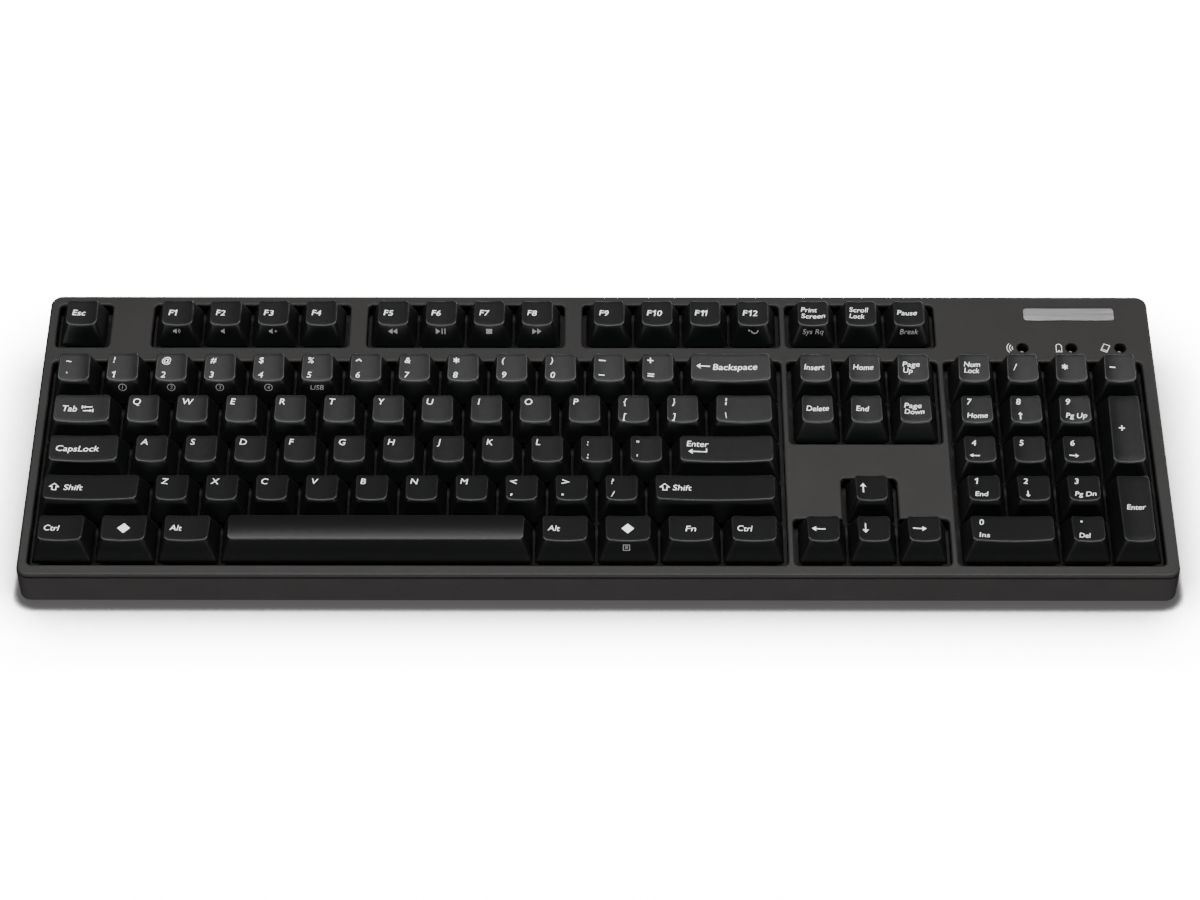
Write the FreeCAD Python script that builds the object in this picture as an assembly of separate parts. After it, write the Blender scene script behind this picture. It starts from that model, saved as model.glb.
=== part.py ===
import FreeCAD, Part
import math
import os

# Full-size desktop keyboard.
# Row frame: X to the user's right, Y to the rear, Z up, origin on the desk under the middle.
# Deck frame: X as above, Y up the sloping deck from the front edge of the front row of keys,
# Z out of the deck, zero on the top cover's upper face. Most pieces are drawn in the deck frame.

# ---- driving dimensions, millimetres and degrees -------------------------------------------
pitch = 19.05                 # key spacing, the 3/4 inch standard
columns = 22.5                # width of the key block in key spacings
block_offset = -0.6           # middle of the key block, from the middle of the case
function_row = 5.5            # start of the function row, in key spacings from the front row

case_half_width = 220.0
case_front = -6.2             # front and rear edges of the deck, in the deck frame
case_rear = 130.0
case_corner = 4.5
inner_corner = 1.6
deck_slope = 6.0
deck_front_height = 17.68     # height of the deck frame's origin above the desk
underside = 2.0               # height of the flat underside, the thickness of the rubber feet
floor_thickness = 1.6
bottom_round = 1.0
wall = 2.0
ledge = 1.5                   # step in the lower shell's wall that carries the switch plate
rim_underside = -1.4          # underside of the top cover's rim
shell_rim = -1.9              # upper edge of the lower shell
cover_thickness = 2.0
cover_round = 1.2
lip_inset = 2.9
lip_thickness = 1.1
lip_bottom = -4.2
lip_corner = 2.0
cutout_margin = 1.2
cutout_corner = 1.8
cutout_edge = 0.8
cutout_skirt = 1.3
cutout_skirt_bottom = -5.3

plate_top = -6.5
plate_thickness = 1.5
plate_edges = (217.6, -4.6, 126.8)     # half width, front, rear
plate_notch_front = 97.8
board_top = -11.5
board_thickness = 1.6
board_edges = (215.6, -0.8, 124.8)
board_notch_front = 92.6
sheet_corner = 2.0
notch_left = 137.0            # the plate and board stop short of the battery bay
switch_hole = 14.0

travel = 4.0                  # key stroke
cap_base = -1.8
cap_gap = 0.475               # from the key's cell to the foot of its cap
cap_wall = 1.1
cap_roof = 1.5
cap_side_inset = 3.5
cap_base_corner = 0.9
cap_top_corner = 1.9
cap_least_corner = 0.3
cap_dish = 0.9
cap_crown = 0.7
cap_spare = 1.0               # blank left above the rim before the top is shaped
shoulder = 0.5                # height of the slider's shoulder at rest
boss_radius = 2.6
cross_length = 4.1
cross_width = 1.3
cross_height = 3.6
cross_clearance = 0.05

slider_width = 6.4
slider_depth = 4.8
slider_bottom = -4.7
slider_clearance = 0.35
slider_stop = 0.2             # left under the slider at the end of its stroke
peg_radius = 1.2
peg_length = 1.5
housing_flange = 15.4
housing_flange_thickness = 0.9
housing_foot = 14.0
housing_crown = 10.2
housing_corner = 0.8
housing_top = 0.1
housing_body = 13.8
spring_outer = 2.0
spring_inner = 1.6
spring_floor = -10.9
spring_play = 0.3
locating_pin = 1.95
locating_pin_bottom = -13.7

stabilizer_reach = 11.9       # stem offset under keys of 2 to 2.75 spacings
space_reach = 50.0            # stem offset under the space bar
stabilizer_width = 6.6
stabilizer_depth = 10.4
stabilizer_top = -3.8         # clear of the cap's boss when the key is down
stabilizer_bottom = -11.1
stabilizer_rim = 0.5
stabilizer_rim_height = 0.8
stem_width = 4.4
stem_depth = 2.8
stem_bottom = -6.4
stem_play = 0.3
wire_radius = 0.7
wire_arm_radius = 0.6
wire_offset = 8.3
wire_height = -9.8
wire_gap = 0.05

screw_seat = -16.2
post_bottom = -14.6
post_radius = 3.1
post_play = 0.5
boss_outer = 4.2
screw_shank = 1.25
screw_pilot = 1.3
screw_hole = 1.5
screw_head = 2.6
screw_head_height = 1.8
screw_head_play = 0.3
screw_tip = -5.0
screw_slot = (3.4, 0.8, 0.8)  # length, width, depth of the cross drive

lamp_row = 103.3
lamp_columns = (168.4, 187.75, 207.15)
lamp_board = (159.0, 213.5, 99.5, 107.0)
lamp_board_top = -6.0
lamp_hole = 2.2
lamp_sleeve = 0.8
lamp_sleeve_bottom = -5.8
lamp_post = 1.5
lamp_body = 3.0
lamp_body_height = 0.8
lens_radius = 1.0
lens_centre = -3.6
badge_centre = (188.0, 120.1)
badge_size = (36.0, 6.0)
badge_corner = 1.2
badge_thickness = 0.8
badge_recess = 0.4
badge_play = 0.1

diode_offset = (4.6, 2.2)     # small part beside each switch, under the board
diode_size = (1.4, 2.6, 1.0)
controller_place = (15.12, 54.0)       # column in key spacings, distance along the deck
controller_size = (5.0, 9.0, 1.2)
radio_place = (18.37, 66.0)
radio_size = (5.0, 12.0, 1.8)

socket_column = 10.75         # in key spacings
socket_size = (9.0, 3.26)
socket_length = 9.6
socket_metal = 0.35
socket_floor = 1.2
socket_tongue = (6.6, 0.7, 8.0)        # width, thickness, tip
socket_above_board = 1.65
socket_setback = 0.4
socket_mouth = (9.8, 4.0, 1.9)         # width, height, corner of the opening in the case
power_column = 6.25           # in key spacings
power_travel = 3.0
power_body = (9.0, 3.6, 3.2)
power_body_along = 122.4
knob_width = 2.4
knob_height = 1.8
knob_flange = 0.5             # the flange stands out this much, one way and the other
knob_flange_height = 0.4
knob_inner = 124.3
knob_flange_depth = 0.7
knob_above_board = 1.7
knob_proud = 1.0
knob_play = 0.4
pocket_width = 10.8
pocket_front = 120.0
pocket_rear = 125.7

cell_radius = 7.1
cell_length = 49.2
cell_left = 161.4
cell_height = 11.6
cell_rows = (103.1, 117.6)    # distance of each cell's axis behind the deck frame's origin
cell_nub = (2.7, 1.0)         # radius, length
bay_box = (158.6, 213.0, 95.4, 124.9)  # left, right, front, rear, behind the deck frame's origin
bay_wall = 1.2
bay_top = 15.5
contact_thickness = 0.5
contact_gap = 0.1
contact_margin = 2.5
contact_lift = 1.0
contact_top = 15.0
door_play = 0.3
groove_count = 5
groove_length = 20.0
groove_first = 3.0
groove_pitch = 1.6
groove_width = 0.8
groove_depth = 0.4

foot_middle = 128.0           # flip feet, either side of the middle
foot_width = 26.0
foot_length = 16.0
foot_radius = 1.6
foot_tip_round = 1.2
foot_axis_height = 3.6
foot_axis_behind = 119.0
foot_pin = 1.5
foot_pin_length = 2.0
foot_play = 0.4
pin_play = 0.05
finger_space = 4.0            # in front of the folded foot's tip
foot_box_side = 3.0
foot_box_end = 1.5
foot_box_rear = 3.8
foot_box_roof = 1.9
front_pad = (190.0, 6.0, 24.0, 8.0)    # offset, distance back, width, depth
rear_pad = (149.2, 95.0, 8.0, 24.0)
pad_corner = 2.0
pad_recess = 0.5
pad_play = 0.1

over = 1.0                    # cutting shapes run this far past the face they cut
lap = 0.01                    # overlap of shapes that are joined
far = 300.0                   # beyond the whole keyboard

# ---- key layout: start and width in key spacings ---------------------------------------------
# Rows: start in spacings, then front inset, rear inset, front rim height, rear rim height.
rows = {
    "function": (function_row, 4.7, 2.85, 7.6, 8.0),
    "number": (4.0, 4.3, 2.75, 8.9, 10.3),
    "upper": (3.0, 4.0, 3.05, 7.9, 8.8),
    "home": (2.0, 4.4, 2.85, 7.5, 7.6),
    "lower": (1.0, 4.0, 3.35, 9.3, 8.5),
    "bottom": (0.0, 4.1, 3.25, 9.4, 8.5),
}
ones = {n: (1.0,) * n for n in range(1, 8)}
# Each entry is one node: its row, the start of its first key, and the width of each key.
keys = {
    "key_escape": ("function", 0.0, ones[1]),
    "keys_f1_to_f4": ("function", 2.0, ones[4]),
    "keys_f5_to_f8": ("function", 6.5, ones[4]),
    "keys_f9_to_f12": ("function", 11.0, ones[4]),
    "keys_print_scroll_pause": ("function", 15.25, ones[3]),
    "keys_grave_to_6": ("number", 0.0, ones[7]),
    "keys_7_to_equals": ("number", 7.0, ones[6]),
    "key_backspace": ("number", 13.0, (2.0,)),
    "keys_numpad_top": ("number", 18.5, ones[4]),
    "key_tab": ("upper", 0.0, (1.5,)),
    "keys_q_to_t": ("upper", 1.5, ones[5]),
    "keys_y_to_bracket": ("upper", 6.5, ones[7]),
    "key_backslash": ("upper", 13.5, (1.5,)),
    "keys_numpad_7_8_9": ("upper", 18.5, ones[3]),
    "key_caps_lock": ("home", 0.0, (1.75,)),
    "keys_a_to_g": ("home", 1.75, ones[5]),
    "keys_h_to_quote": ("home", 6.75, ones[6]),
    "key_enter": ("home", 12.75, (2.25,)),
    "keys_numpad_4_5_6": ("home", 18.5, ones[3]),
    "key_left_shift": ("lower", 0.0, (2.25,)),
    "keys_z_to_b": ("lower", 2.25, ones[5]),
    "keys_n_to_slash": ("lower", 7.25, ones[5]),
    "key_right_shift": ("lower", 12.25, (2.75,)),
    "key_arrow_up": ("lower", 16.25, ones[1]),
    "key_left_ctrl": ("bottom", 0.0, (1.25,)),
    "key_left_meta": ("bottom", 1.25, (1.25,)),
    "key_left_alt": ("bottom", 2.5, (1.25,)),
    "key_space_bar": ("bottom", 3.75, (6.25,)),
    "key_right_alt": ("bottom", 10.0, (1.25,)),
    "key_right_meta": ("bottom", 11.25, (1.25,)),
    "key_fn": ("bottom", 12.5, (1.25,)),
    "key_right_ctrl": ("bottom", 13.75, (1.25,)),
    "key_arrow_left": ("bottom", 15.25, ones[1]),
    "key_arrow_down": ("bottom", 16.25, ones[1]),
    "key_arrow_right": ("bottom", 17.25, ones[1]),
    "key_numpad_zero": ("bottom", 18.5, (2.0,)),
}
# Two-row keys: the rows they start and end in, and their column.
tall_keys = {
    "key_numpad_plus": ("home", "upper", 21.5),
    "key_numpad_enter": ("bottom", "lower", 21.5),
}
# Key groups that need more than one row: lists of (row, start, widths).
mixed_keys = {
    "keys_navigation": [("number", 15.25, ones[3]), ("upper", 15.25, ones[3])],
    "keys_numpad_1_2_3_dot": [("lower", 18.5, ones[3]), ("bottom", 20.5, ones[1])],
}
# Openings in the top cover, in key spacings: left, right, front, rear. The last two join.
openings = [
    (0.0, 1.0, function_row, function_row + 1.0),
    (2.0, 6.0, function_row, function_row + 1.0),
    (6.5, 10.5, function_row, function_row + 1.0),
    (11.0, 15.0, function_row, function_row + 1.0),
    (15.25, 18.25, function_row, function_row + 1.0),
    (0.0, 15.0, 0.0, 5.0),
    (15.25, 18.25, 3.0, 5.0),
    (18.5, 22.5, 0.0, 5.0),
    (15.25, 18.25, 0.0, 1.0),
    (16.25, 17.25, 0.0, 2.0),
]
# Screw posts: distance right of the middle, distance along the deck.
posts = [(-200.0, 100.0), (-75.0, 100.0), (50.0, 100.0), (146.5, 100.0)]
column_posts = [(15.62, 28.6), (17.87, 28.6)]      # these stand between keys, in key spacings

# ---- helpers -----------------------------------------------------------------------------------
V = FreeCAD.Vector
slope = math.radians(deck_slope)
X_AXIS = V(1, 0, 0)
Y_AXIS = V(0, 1, 0)
Z_AXIS = V(0, 0, 1)
ORIGIN = V(0, 0, 0)
left_edge = block_offset - columns / 2 * pitch
case_depth = (case_rear - case_front) * math.cos(slope)
origin_back = -(case_front + case_rear) * math.cos(slope) / 2
deck = FreeCAD.Placement(V(0, origin_back, deck_front_height), FreeCAD.Rotation(X_AXIS, deck_slope))
floor_top = underside + floor_thickness
plate_bottom = plate_top - plate_thickness
board_bottom = board_top - board_thickness


def column_x(column):
    """Distance right of the case's middle of a column given in key spacings."""
    return left_edge + column * pitch


posts += [(column_x(column), along) for column, along in column_posts]


def rear_wall_at(out):
    """Distance along the deck of the upright rear wall's outside, at a height from the deck."""
    return case_rear + out * math.tan(slope)


def on_deck(shape):
    """A copy of a deck-frame shape, set on the sloping deck."""
    moved = shape.copy()
    moved.Placement = deck.multiply(moved.Placement)
    return moved


def off_deck(shape):
    """A copy of a row-frame shape, seen from the deck frame."""
    moved = shape.copy()
    moved.Placement = deck.inverse().multiply(moved.Placement)
    return moved


def box(x0, x1, y0, y1, z0, z1):
    return Part.makeBox(x1 - x0, y1 - y0, z1 - z0, V(x0, y0, z0))


def centred_box(x, y, width, depth, z0, z1):
    return box(x - width / 2, x + width / 2, y - depth / 2, y + depth / 2, z0, z1)


def cylinder(x, y, radius, z0, z1):
    return Part.makeCylinder(radius, z1 - z0, V(x, y, z0))


def rounded_wire(x0, x1, y0, y1, radius, z):
    """Rectangle with rounded corners, as a wire of four lines and four arcs."""
    centres = [(x1 - radius, y0 + radius, -90), (x1 - radius, y1 - radius, 0),
               (x0 + radius, y1 - radius, 90), (x0 + radius, y0 + radius, 180)]
    arcs = []
    for cx, cy, start in centres:
        points = []
        for turn in (0, 45, 90):
            angle = math.radians(start + turn)
            points.append(V(cx + radius * math.cos(angle), cy + radius * math.sin(angle), z))
        arcs.append(points)
    edges = []
    for index, points in enumerate(arcs):
        edges.append(Part.Arc(*points).toShape())
        following = arcs[(index + 1) % len(arcs)][0]
        edges.append(Part.makeLine(points[2], following))
    return Part.Wire(edges)


def rounded_slab(x0, x1, y0, y1, z0, z1, radius):
    return Part.Face(rounded_wire(x0, x1, y0, y1, radius, z0)).extrude(V(0, 0, z1 - z0))


def fuse(shapes):
    return shapes[0].multiFuse(shapes[1:]).removeSplitter()


def export(name, shapes):
    solids = []
    for shape in shapes:
        solids.extend(shape.Solids)
    whole = solids[0] if len(solids) == 1 else Part.makeCompound(solids)
    whole.exportStep("parts/" + name + ".step")


# ---- keys -----------------------------------------------------------------------------------------
def rim_inset(rim, rim_height, height):
    """Inset of a cap's flat side at a height, on the line from its foot to its rim."""
    return cap_gap + (rim - cap_gap) * (height - cap_base) / (rim_height - cap_base)


def cap_blank(width, depth, profile, z0, z1, shrink):
    """Solid with a key cap's sloping sides, moved in by shrink, between two heights."""
    front, rear, front_rim, rear_rim = profile
    sections = []
    for height in (z0, z1):
        side = rim_inset(cap_side_inset, (front_rim + rear_rim) / 2, height) + shrink
        reach = (height - cap_base) / (max(front_rim, rear_rim) + cap_spare - cap_base)
        corner = cap_base_corner + (cap_top_corner - cap_base_corner) * reach
        sections.append(rounded_wire(side - width / 2, width / 2 - side,
                                     rim_inset(front, front_rim, height) + shrink,
                                     depth - rim_inset(rear, rear_rim, height) - shrink,
                                     max(corner - shrink / 2, cap_least_corner), height))
    return Part.makeLoft(sections, True, True)


def rolling_cylinder(radius, reach, at, direction):
    """Long cylinder centred on a point, with its axis along a direction."""
    start = at - direction * reach
    return Part.makeCylinder(radius, 2 * reach, start, direction)


def key_cap(width, depth, profile, bosses, convex):
    """Hollow cap in its cell: X from the cell's middle, Y from its front, heights from the deck."""
    front, rear, front_rim, rear_rim = profile
    blank = cap_blank(width, depth, profile, cap_base, max(front_rim, rear_rim) + cap_spare, 0.0)
    run = depth - front - rear
    tilt = math.atan2(rear_rim - front_rim, run)
    middle = V(0, front + run / 2, (front_rim + rear_rim) / 2)
    upward = V(0, -math.sin(tilt), math.cos(tilt))
    if convex:
        half = run / 2
        radius = (half ** 2 + cap_crown ** 2) / (2 * cap_crown)
        axis_point = middle - upward * (radius - cap_crown)
        cap = blank.common(rolling_cylinder(radius, width, axis_point, X_AXIS))
    else:
        half = width / 2 - cap_side_inset
        radius = (half ** 2 + cap_dish ** 2) / (2 * cap_dish)
        axis_point = middle + upward * (radius - cap_dish)
        along = V(0, math.cos(tilt), math.sin(tilt))
        cap = blank.cut(rolling_cylinder(radius, 2 * depth, axis_point, along))
    ceiling = min(front_rim, rear_rim) - cap_dish - cap_roof
    cap = cap.cut(cap_blank(width, depth, profile, cap_base - lap, ceiling, cap_wall))
    slot = cross_length / 2 + cross_clearance
    thin = cross_width / 2 + cross_clearance
    slot_top = shoulder + cross_height + cross_clearance
    for x, y in bosses:
        cap = cap.fuse(cylinder(x, y, boss_radius, shoulder, ceiling + lap))
    for x, y in bosses:
        cap = cap.cut(box(x - slot, x + slot, y - thin, y + thin, shoulder - over, slot_top))
        cap = cap.cut(box(x - thin, x + thin, y - slot, y + slot, shoulder - over, slot_top))
    return cap


def cross_post(x, y):
    long = cross_length / 2
    thin = cross_width / 2
    top = shoulder + cross_height
    arm = box(x - long, x + long, y - thin, y + thin, shoulder - lap, top)
    return arm.fuse(box(x - thin, x + thin, y - long, y + long, shoulder - lap, top))


def slider(x, y):
    """Switch stem: a block that rides in the housing, with a cross post and a spring peg."""
    block = centred_box(x, y, slider_width, slider_depth, slider_bottom, shoulder)
    peg = cylinder(x, y, peg_radius, slider_bottom - peg_length, slider_bottom + lap)
    return fuse([block, cross_post(x, y), peg])


def stabilizer_stem(x, y):
    block = centred_box(x, y, stem_width, stem_depth, stem_bottom, shoulder)
    return fuse([block, cross_post(x, y)])


def stabilizer_offsets(width_units, depth_units):
    """Stem offsets from the key's middle for a long key."""
    if width_units > 6:
        return [(-space_reach, 0.0), (space_reach, 0.0)]
    if width_units >= 2:
        return [(-stabilizer_reach, 0.0), (stabilizer_reach, 0.0)]
    if depth_units >= 2:
        return [(0.0, -stabilizer_reach), (0.0, stabilizer_reach)]
    return []


switch_points = []
stabilizer_points = []        # stem position and whether the wire runs across the key
stabilizer_pairs = []         # key middle, half spacing, whether the wire runs across
cap_cache = {}


def make_key(start, front, width_units, depth_units, profile):
    """Cap, slider and stabilizer stems of one key, as separate solids in the deck frame."""
    width = width_units * pitch
    depth = depth_units * pitch
    offsets = stabilizer_offsets(width_units, depth_units)
    bosses = [(0.0, depth / 2)] + [(dx, depth / 2 + dy) for dx, dy in offsets]
    kind = (width_units, depth_units, profile)
    if kind not in cap_cache:
        cap_cache[kind] = key_cap(width, depth, profile, bosses, width_units > 6)
    x = column_x(start) + width / 2
    y = front * pitch
    cap = cap_cache[kind].copy()
    cap.translate(V(x, y, 0))
    solids = [cap, slider(x, y + depth / 2)]
    switch_points.append((x, y + depth / 2))
    for dx, dy in offsets:
        solids.append(stabilizer_stem(x + dx, y + depth / 2 + dy))
        stabilizer_points.append((x + dx, y + depth / 2 + dy, abs(dx) > 0))
    if offsets:
        reach = max(abs(offsets[0][0]), abs(offsets[0][1]))
        stabilizer_pairs.append((x, y + depth / 2, reach, abs(offsets[0][0]) > 0))
    return solids


def make_bank(row, start, widths):
    """A run of neighbouring keys in one row."""
    front = rows[row][0]
    solids = []
    for width_units in widths:
        solids.extend(make_key(start, front, width_units, 1.0, rows[row][1:]))
        start += width_units
    return solids


key_nodes = {}
for name, (row, start, widths) in keys.items():
    key_nodes[name] = make_bank(row, start, widths)
for name, banks in mixed_keys.items():
    key_nodes[name] = []
    for row, start, widths in banks:
        key_nodes[name].extend(make_bank(row, start, widths))
for name, (near_row, far_row, start) in tall_keys.items():
    profile = (rows[near_row][1], rows[far_row][2], rows[near_row][3], rows[far_row][4])
    key_nodes[name] = make_key(start, rows[near_row][0], 1.0, 2.0, profile)


# ---- switches and stabilizers ------------------------------------------------------------------
def switch_housing():
    """Switch body about its own middle, with the slider's well open at the top."""
    foot = housing_foot / 2
    crown = housing_crown / 2
    flange_top = plate_top + housing_flange_thickness
    base = rounded_wire(-foot, foot, -foot, foot, housing_corner, flange_top - lap)
    crest = rounded_wire(-crown, crown, -crown, crown, housing_corner, housing_top)
    tower = Part.makeLoft([base, crest], True, True)
    flange = centred_box(0, 0, housing_flange, housing_flange, plate_top, flange_top)
    body = centred_box(0, 0, housing_body, housing_body, board_top, plate_top + lap)
    pin = cylinder(0, 0, locating_pin, locating_pin_bottom, board_top + lap)
    well_floor = slider_bottom - travel - slider_stop
    well = centred_box(0, 0, slider_width + 2 * slider_clearance, slider_depth + 2 * slider_clearance,
                       well_floor, housing_top + over)
    bore = cylinder(0, 0, spring_outer + spring_play, spring_floor, well_floor + lap)
    return fuse([tower, flange, body, pin]).cut(fuse([well, bore]))


def spring_sleeve():
    """Thin sleeve in place of the coil, drawn at its length with the key pressed."""
    top = slider_bottom - travel - cross_clearance
    outside = cylinder(0, 0, spring_outer, spring_floor, top)
    return outside.cut(cylinder(0, 0, spring_inner, spring_floor - over, top + over))


def stabilizer_size(across, grow):
    """Width and depth of a stabilizer guide, turned with its key, plus a margin all round."""
    width = stabilizer_width if across else stabilizer_depth
    depth = stabilizer_depth if across else stabilizer_width
    return width + 2 * grow, depth + 2 * grow


def stabilizer_housing(x, y, across):
    """Guide for one stabilizer stem, clipped into the plate."""
    guide = centred_box(x, y, *stabilizer_size(across, 0.0), stabilizer_bottom, stabilizer_top)
    rim = centred_box(x, y, *stabilizer_size(across, stabilizer_rim),
                      plate_top, plate_top + stabilizer_rim_height)
    well = centred_box(x, y, stem_width + 2 * stem_play, stem_depth + 2 * stem_play,
                       stem_bottom - travel - slider_stop, stabilizer_top + over)
    return guide.fuse(rim).cut(well)


def stabilizer_wire(x, y, reach, across):
    """Bent wire that ties a pair of stabilizers together, below the plate."""
    length = 2 * (reach + wire_radius)
    rod = Part.makeCylinder(wire_radius, length, V(-length / 2, -wire_offset, wire_height), X_AXIS)
    arm_length = wire_offset - stabilizer_depth / 2 - wire_gap
    arms = []
    for side in (-reach, reach):
        arms.append(Part.makeCylinder(wire_arm_radius, arm_length,
                                      V(side, -wire_offset, wire_height), Y_AXIS))
    wire = fuse([rod] + arms)
    if not across:
        wire.rotate(ORIGIN, Z_AXIS, -90)
    wire.translate(V(x, y, 0))
    return wire


def repeated(shape, points):
    copies = []
    for x, y in points:
        copy = shape.copy()
        copy.translate(V(x, y, 0))
        copies.append(copy)
    return copies


switch_housings = repeated(switch_housing(), switch_points)
switch_springs = repeated(spring_sleeve(), switch_points)
stabilizer_housings = [stabilizer_housing(*point) for point in stabilizer_points]
stabilizer_wires = [stabilizer_wire(*pair) for pair in stabilizer_pairs]


# ---- switch plate and circuit board ------------------------------------------------------------
def notched_sheet(edges, notch_front, z0, z1):
    """Flat sheet with its right rear corner cut away for the battery bay."""
    half_width, front, rear = edges
    sheet = rounded_slab(-half_width, half_width, front, rear, z0, z1, sheet_corner)
    return sheet.cut(box(notch_left, far, notch_front, far, z0 - over, z1 + over))


def post_shapes(radius, z0, z1):
    return [cylinder(x, y, radius, z0, z1) for x, y in posts]


def block_on(x, along, size, base):
    """Plain block centred on a point, standing on a height."""
    width, depth, height = size
    return centred_box(x, along, width, depth, base, base + height)


plate_holes = post_shapes(post_radius + post_play, plate_bottom - over, plate_top + over)
for x, y in switch_points:
    plate_holes.append(centred_box(x, y, switch_hole, switch_hole,
                                   plate_bottom - over, plate_top + over))
for x, y, across in stabilizer_points:
    plate_holes.append(centred_box(x, y, *stabilizer_size(across, stem_play / 2),
                                   plate_bottom - over, plate_top + over))
switch_plate = notched_sheet(plate_edges, plate_notch_front, plate_bottom, plate_top)
switch_plate = switch_plate.cut(Part.makeCompound(plate_holes))

board_holes = post_shapes(post_radius + post_play, board_bottom - over, board_top + over)
for x, y in switch_points:
    board_holes.append(cylinder(x, y, locating_pin + cross_clearance,
                                board_bottom - over, board_top + over))
main_board = notched_sheet(board_edges, board_notch_front, board_bottom, board_top)
main_board = main_board.cut(Part.makeCompound(board_holes))
lamp_strip = box(*lamp_board, lamp_board_top - board_thickness, lamp_board_top)

components = []
for x, y in switch_points:
    components.append(block_on(x + diode_offset[0], y + diode_offset[1], diode_size,
                               board_bottom - diode_size[2]))
components.append(block_on(column_x(controller_place[0]), controller_place[1],
                           controller_size, board_top))
components.append(block_on(column_x(radio_place[0]), radio_place[1], radio_size, board_top))
components.append(block_on(column_x(power_column), power_body_along, power_body, board_top))
indicator_lenses = []
for x in lamp_columns:
    lamp_top = lamp_board_top + lamp_body_height
    components.append(centred_box(x, lamp_row, lamp_body, lamp_body, lamp_board_top, lamp_top))
    stalk = cylinder(x, lamp_row, lens_radius, lamp_top, lens_centre)
    dome = Part.makeSphere(lens_radius, V(x, lamp_row, lens_centre))
    indicator_lenses.append(stalk.fuse(dome).removeSplitter())


# ---- connector and power slide at the rear ------------------------------------------------------
def centred_slab(width, height, z0, z1, corner):
    return rounded_slab(-width / 2, width / 2, -height / 2, height / 2, z0, z1, corner)


def facing_rear(shape, x, along, out):
    """Turns a shape drawn up the Z axis to point rearwards, and places it."""
    shape.rotate(ORIGIN, X_AXIS, -90)
    shape.translate(V(x, along, out))
    return shape


socket_x = column_x(socket_column)
socket_out = board_top + socket_above_board
socket_rear = rear_wall_at(socket_out) - socket_setback
socket_width, socket_height = socket_size
tongue_width, tongue_thickness, tongue_tip = socket_tongue
mouth_width = socket_width - 2 * socket_metal
mouth_height = socket_height - 2 * socket_metal
usb_socket = centred_slab(socket_width, socket_height, 0.0, socket_length, mouth_height / 2)
usb_socket = usb_socket.cut(centred_slab(mouth_width, mouth_height, socket_floor,
                                         socket_length + over, mouth_height / 2 - lap))
tongue = centred_box(0, 0, tongue_width, tongue_thickness, socket_floor - lap, tongue_tip)
usb_socket = facing_rear(usb_socket.fuse(tongue), socket_x, socket_rear - socket_length, socket_out)
socket_cut = centred_slab(socket_mouth[0], socket_mouth[1], 0.0, far, socket_mouth[2])
socket_cut = facing_rear(socket_cut, socket_x, pocket_front, socket_out)

power_x = column_x(power_column)
knob_x = power_x - power_travel / 2
knob_out = board_top + knob_above_board
flange_half = knob_height / 2 + knob_flange_height
stub = box(knob_x - knob_width / 2, knob_x + knob_width / 2,
           knob_inner, rear_wall_at(knob_out) + knob_proud,
           knob_out - knob_height / 2, knob_out + knob_height / 2)
flange = box(knob_x - knob_width / 2 - knob_flange, knob_x + knob_width / 2 + knob_flange,
             knob_inner, knob_inner + knob_flange_depth, knob_out - flange_half, knob_out + flange_half)
power_knob = stub.fuse(flange)
power_cut = box(knob_x - knob_width / 2 - knob_play,
                knob_x + power_travel + knob_width / 2 + knob_play,
                pocket_front, far, knob_out - flange_half, knob_out + flange_half)
power_pocket = box(power_x - pocket_width / 2, power_x + pocket_width / 2,
                   pocket_front, pocket_rear, board_bottom, plate_bottom)
socket_pocket = box(socket_x - pocket_width / 2, socket_x + pocket_width / 2,
                    pocket_front, pocket_rear, board_bottom, plate_bottom)


# ---- lower shell ----------------------------------------------------------------------------------
def upright_block(inset, z0):
    """Block with the case's upright outline in the row frame, its walls moved in by inset."""
    half_depth = case_depth / 2 - inset
    return rounded_slab(inset - case_half_width, case_half_width - inset, -half_depth, half_depth,
                        z0, far, max(case_corner - inset, inner_corner))


def deck_layer(out0, out1):
    """Everything between two heights in the deck frame."""
    return on_deck(box(-far, far, -far, far, out0, out1))


shell = upright_block(0.0, underside).common(deck_layer(-far, shell_rim))
base_edges = [edge for edge in shell.Edges if edge.BoundBox.ZMax < underside + lap]
shell = shell.makeFillet(bottom_round, base_edges)
upper_hollow = upright_block(wall, floor_top).common(deck_layer(plate_bottom, far))
lower_hollow = upright_block(wall + ledge, floor_top).common(deck_layer(-far, plate_bottom + lap))
bottom_case = shell.cut(upper_hollow).cut(lower_hollow)

# Screw bosses, trimmed by the shell's own outside.
bosses = [on_deck(boss).common(shell) for boss in post_shapes(boss_outer, -far, post_bottom)]
# Walls of the battery bay.
bay_left, bay_right, bay_front, bay_rear = bay_box
bay_front += origin_back
bay_rear += origin_back
bay = box(bay_left - bay_wall, bay_right + bay_wall, bay_front - bay_wall, bay_rear + bay_wall,
          floor_top - lap, bay_top)
bay = bay.cut(box(bay_left, bay_right, bay_front, bay_rear, underside, bay_top + over))
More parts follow.
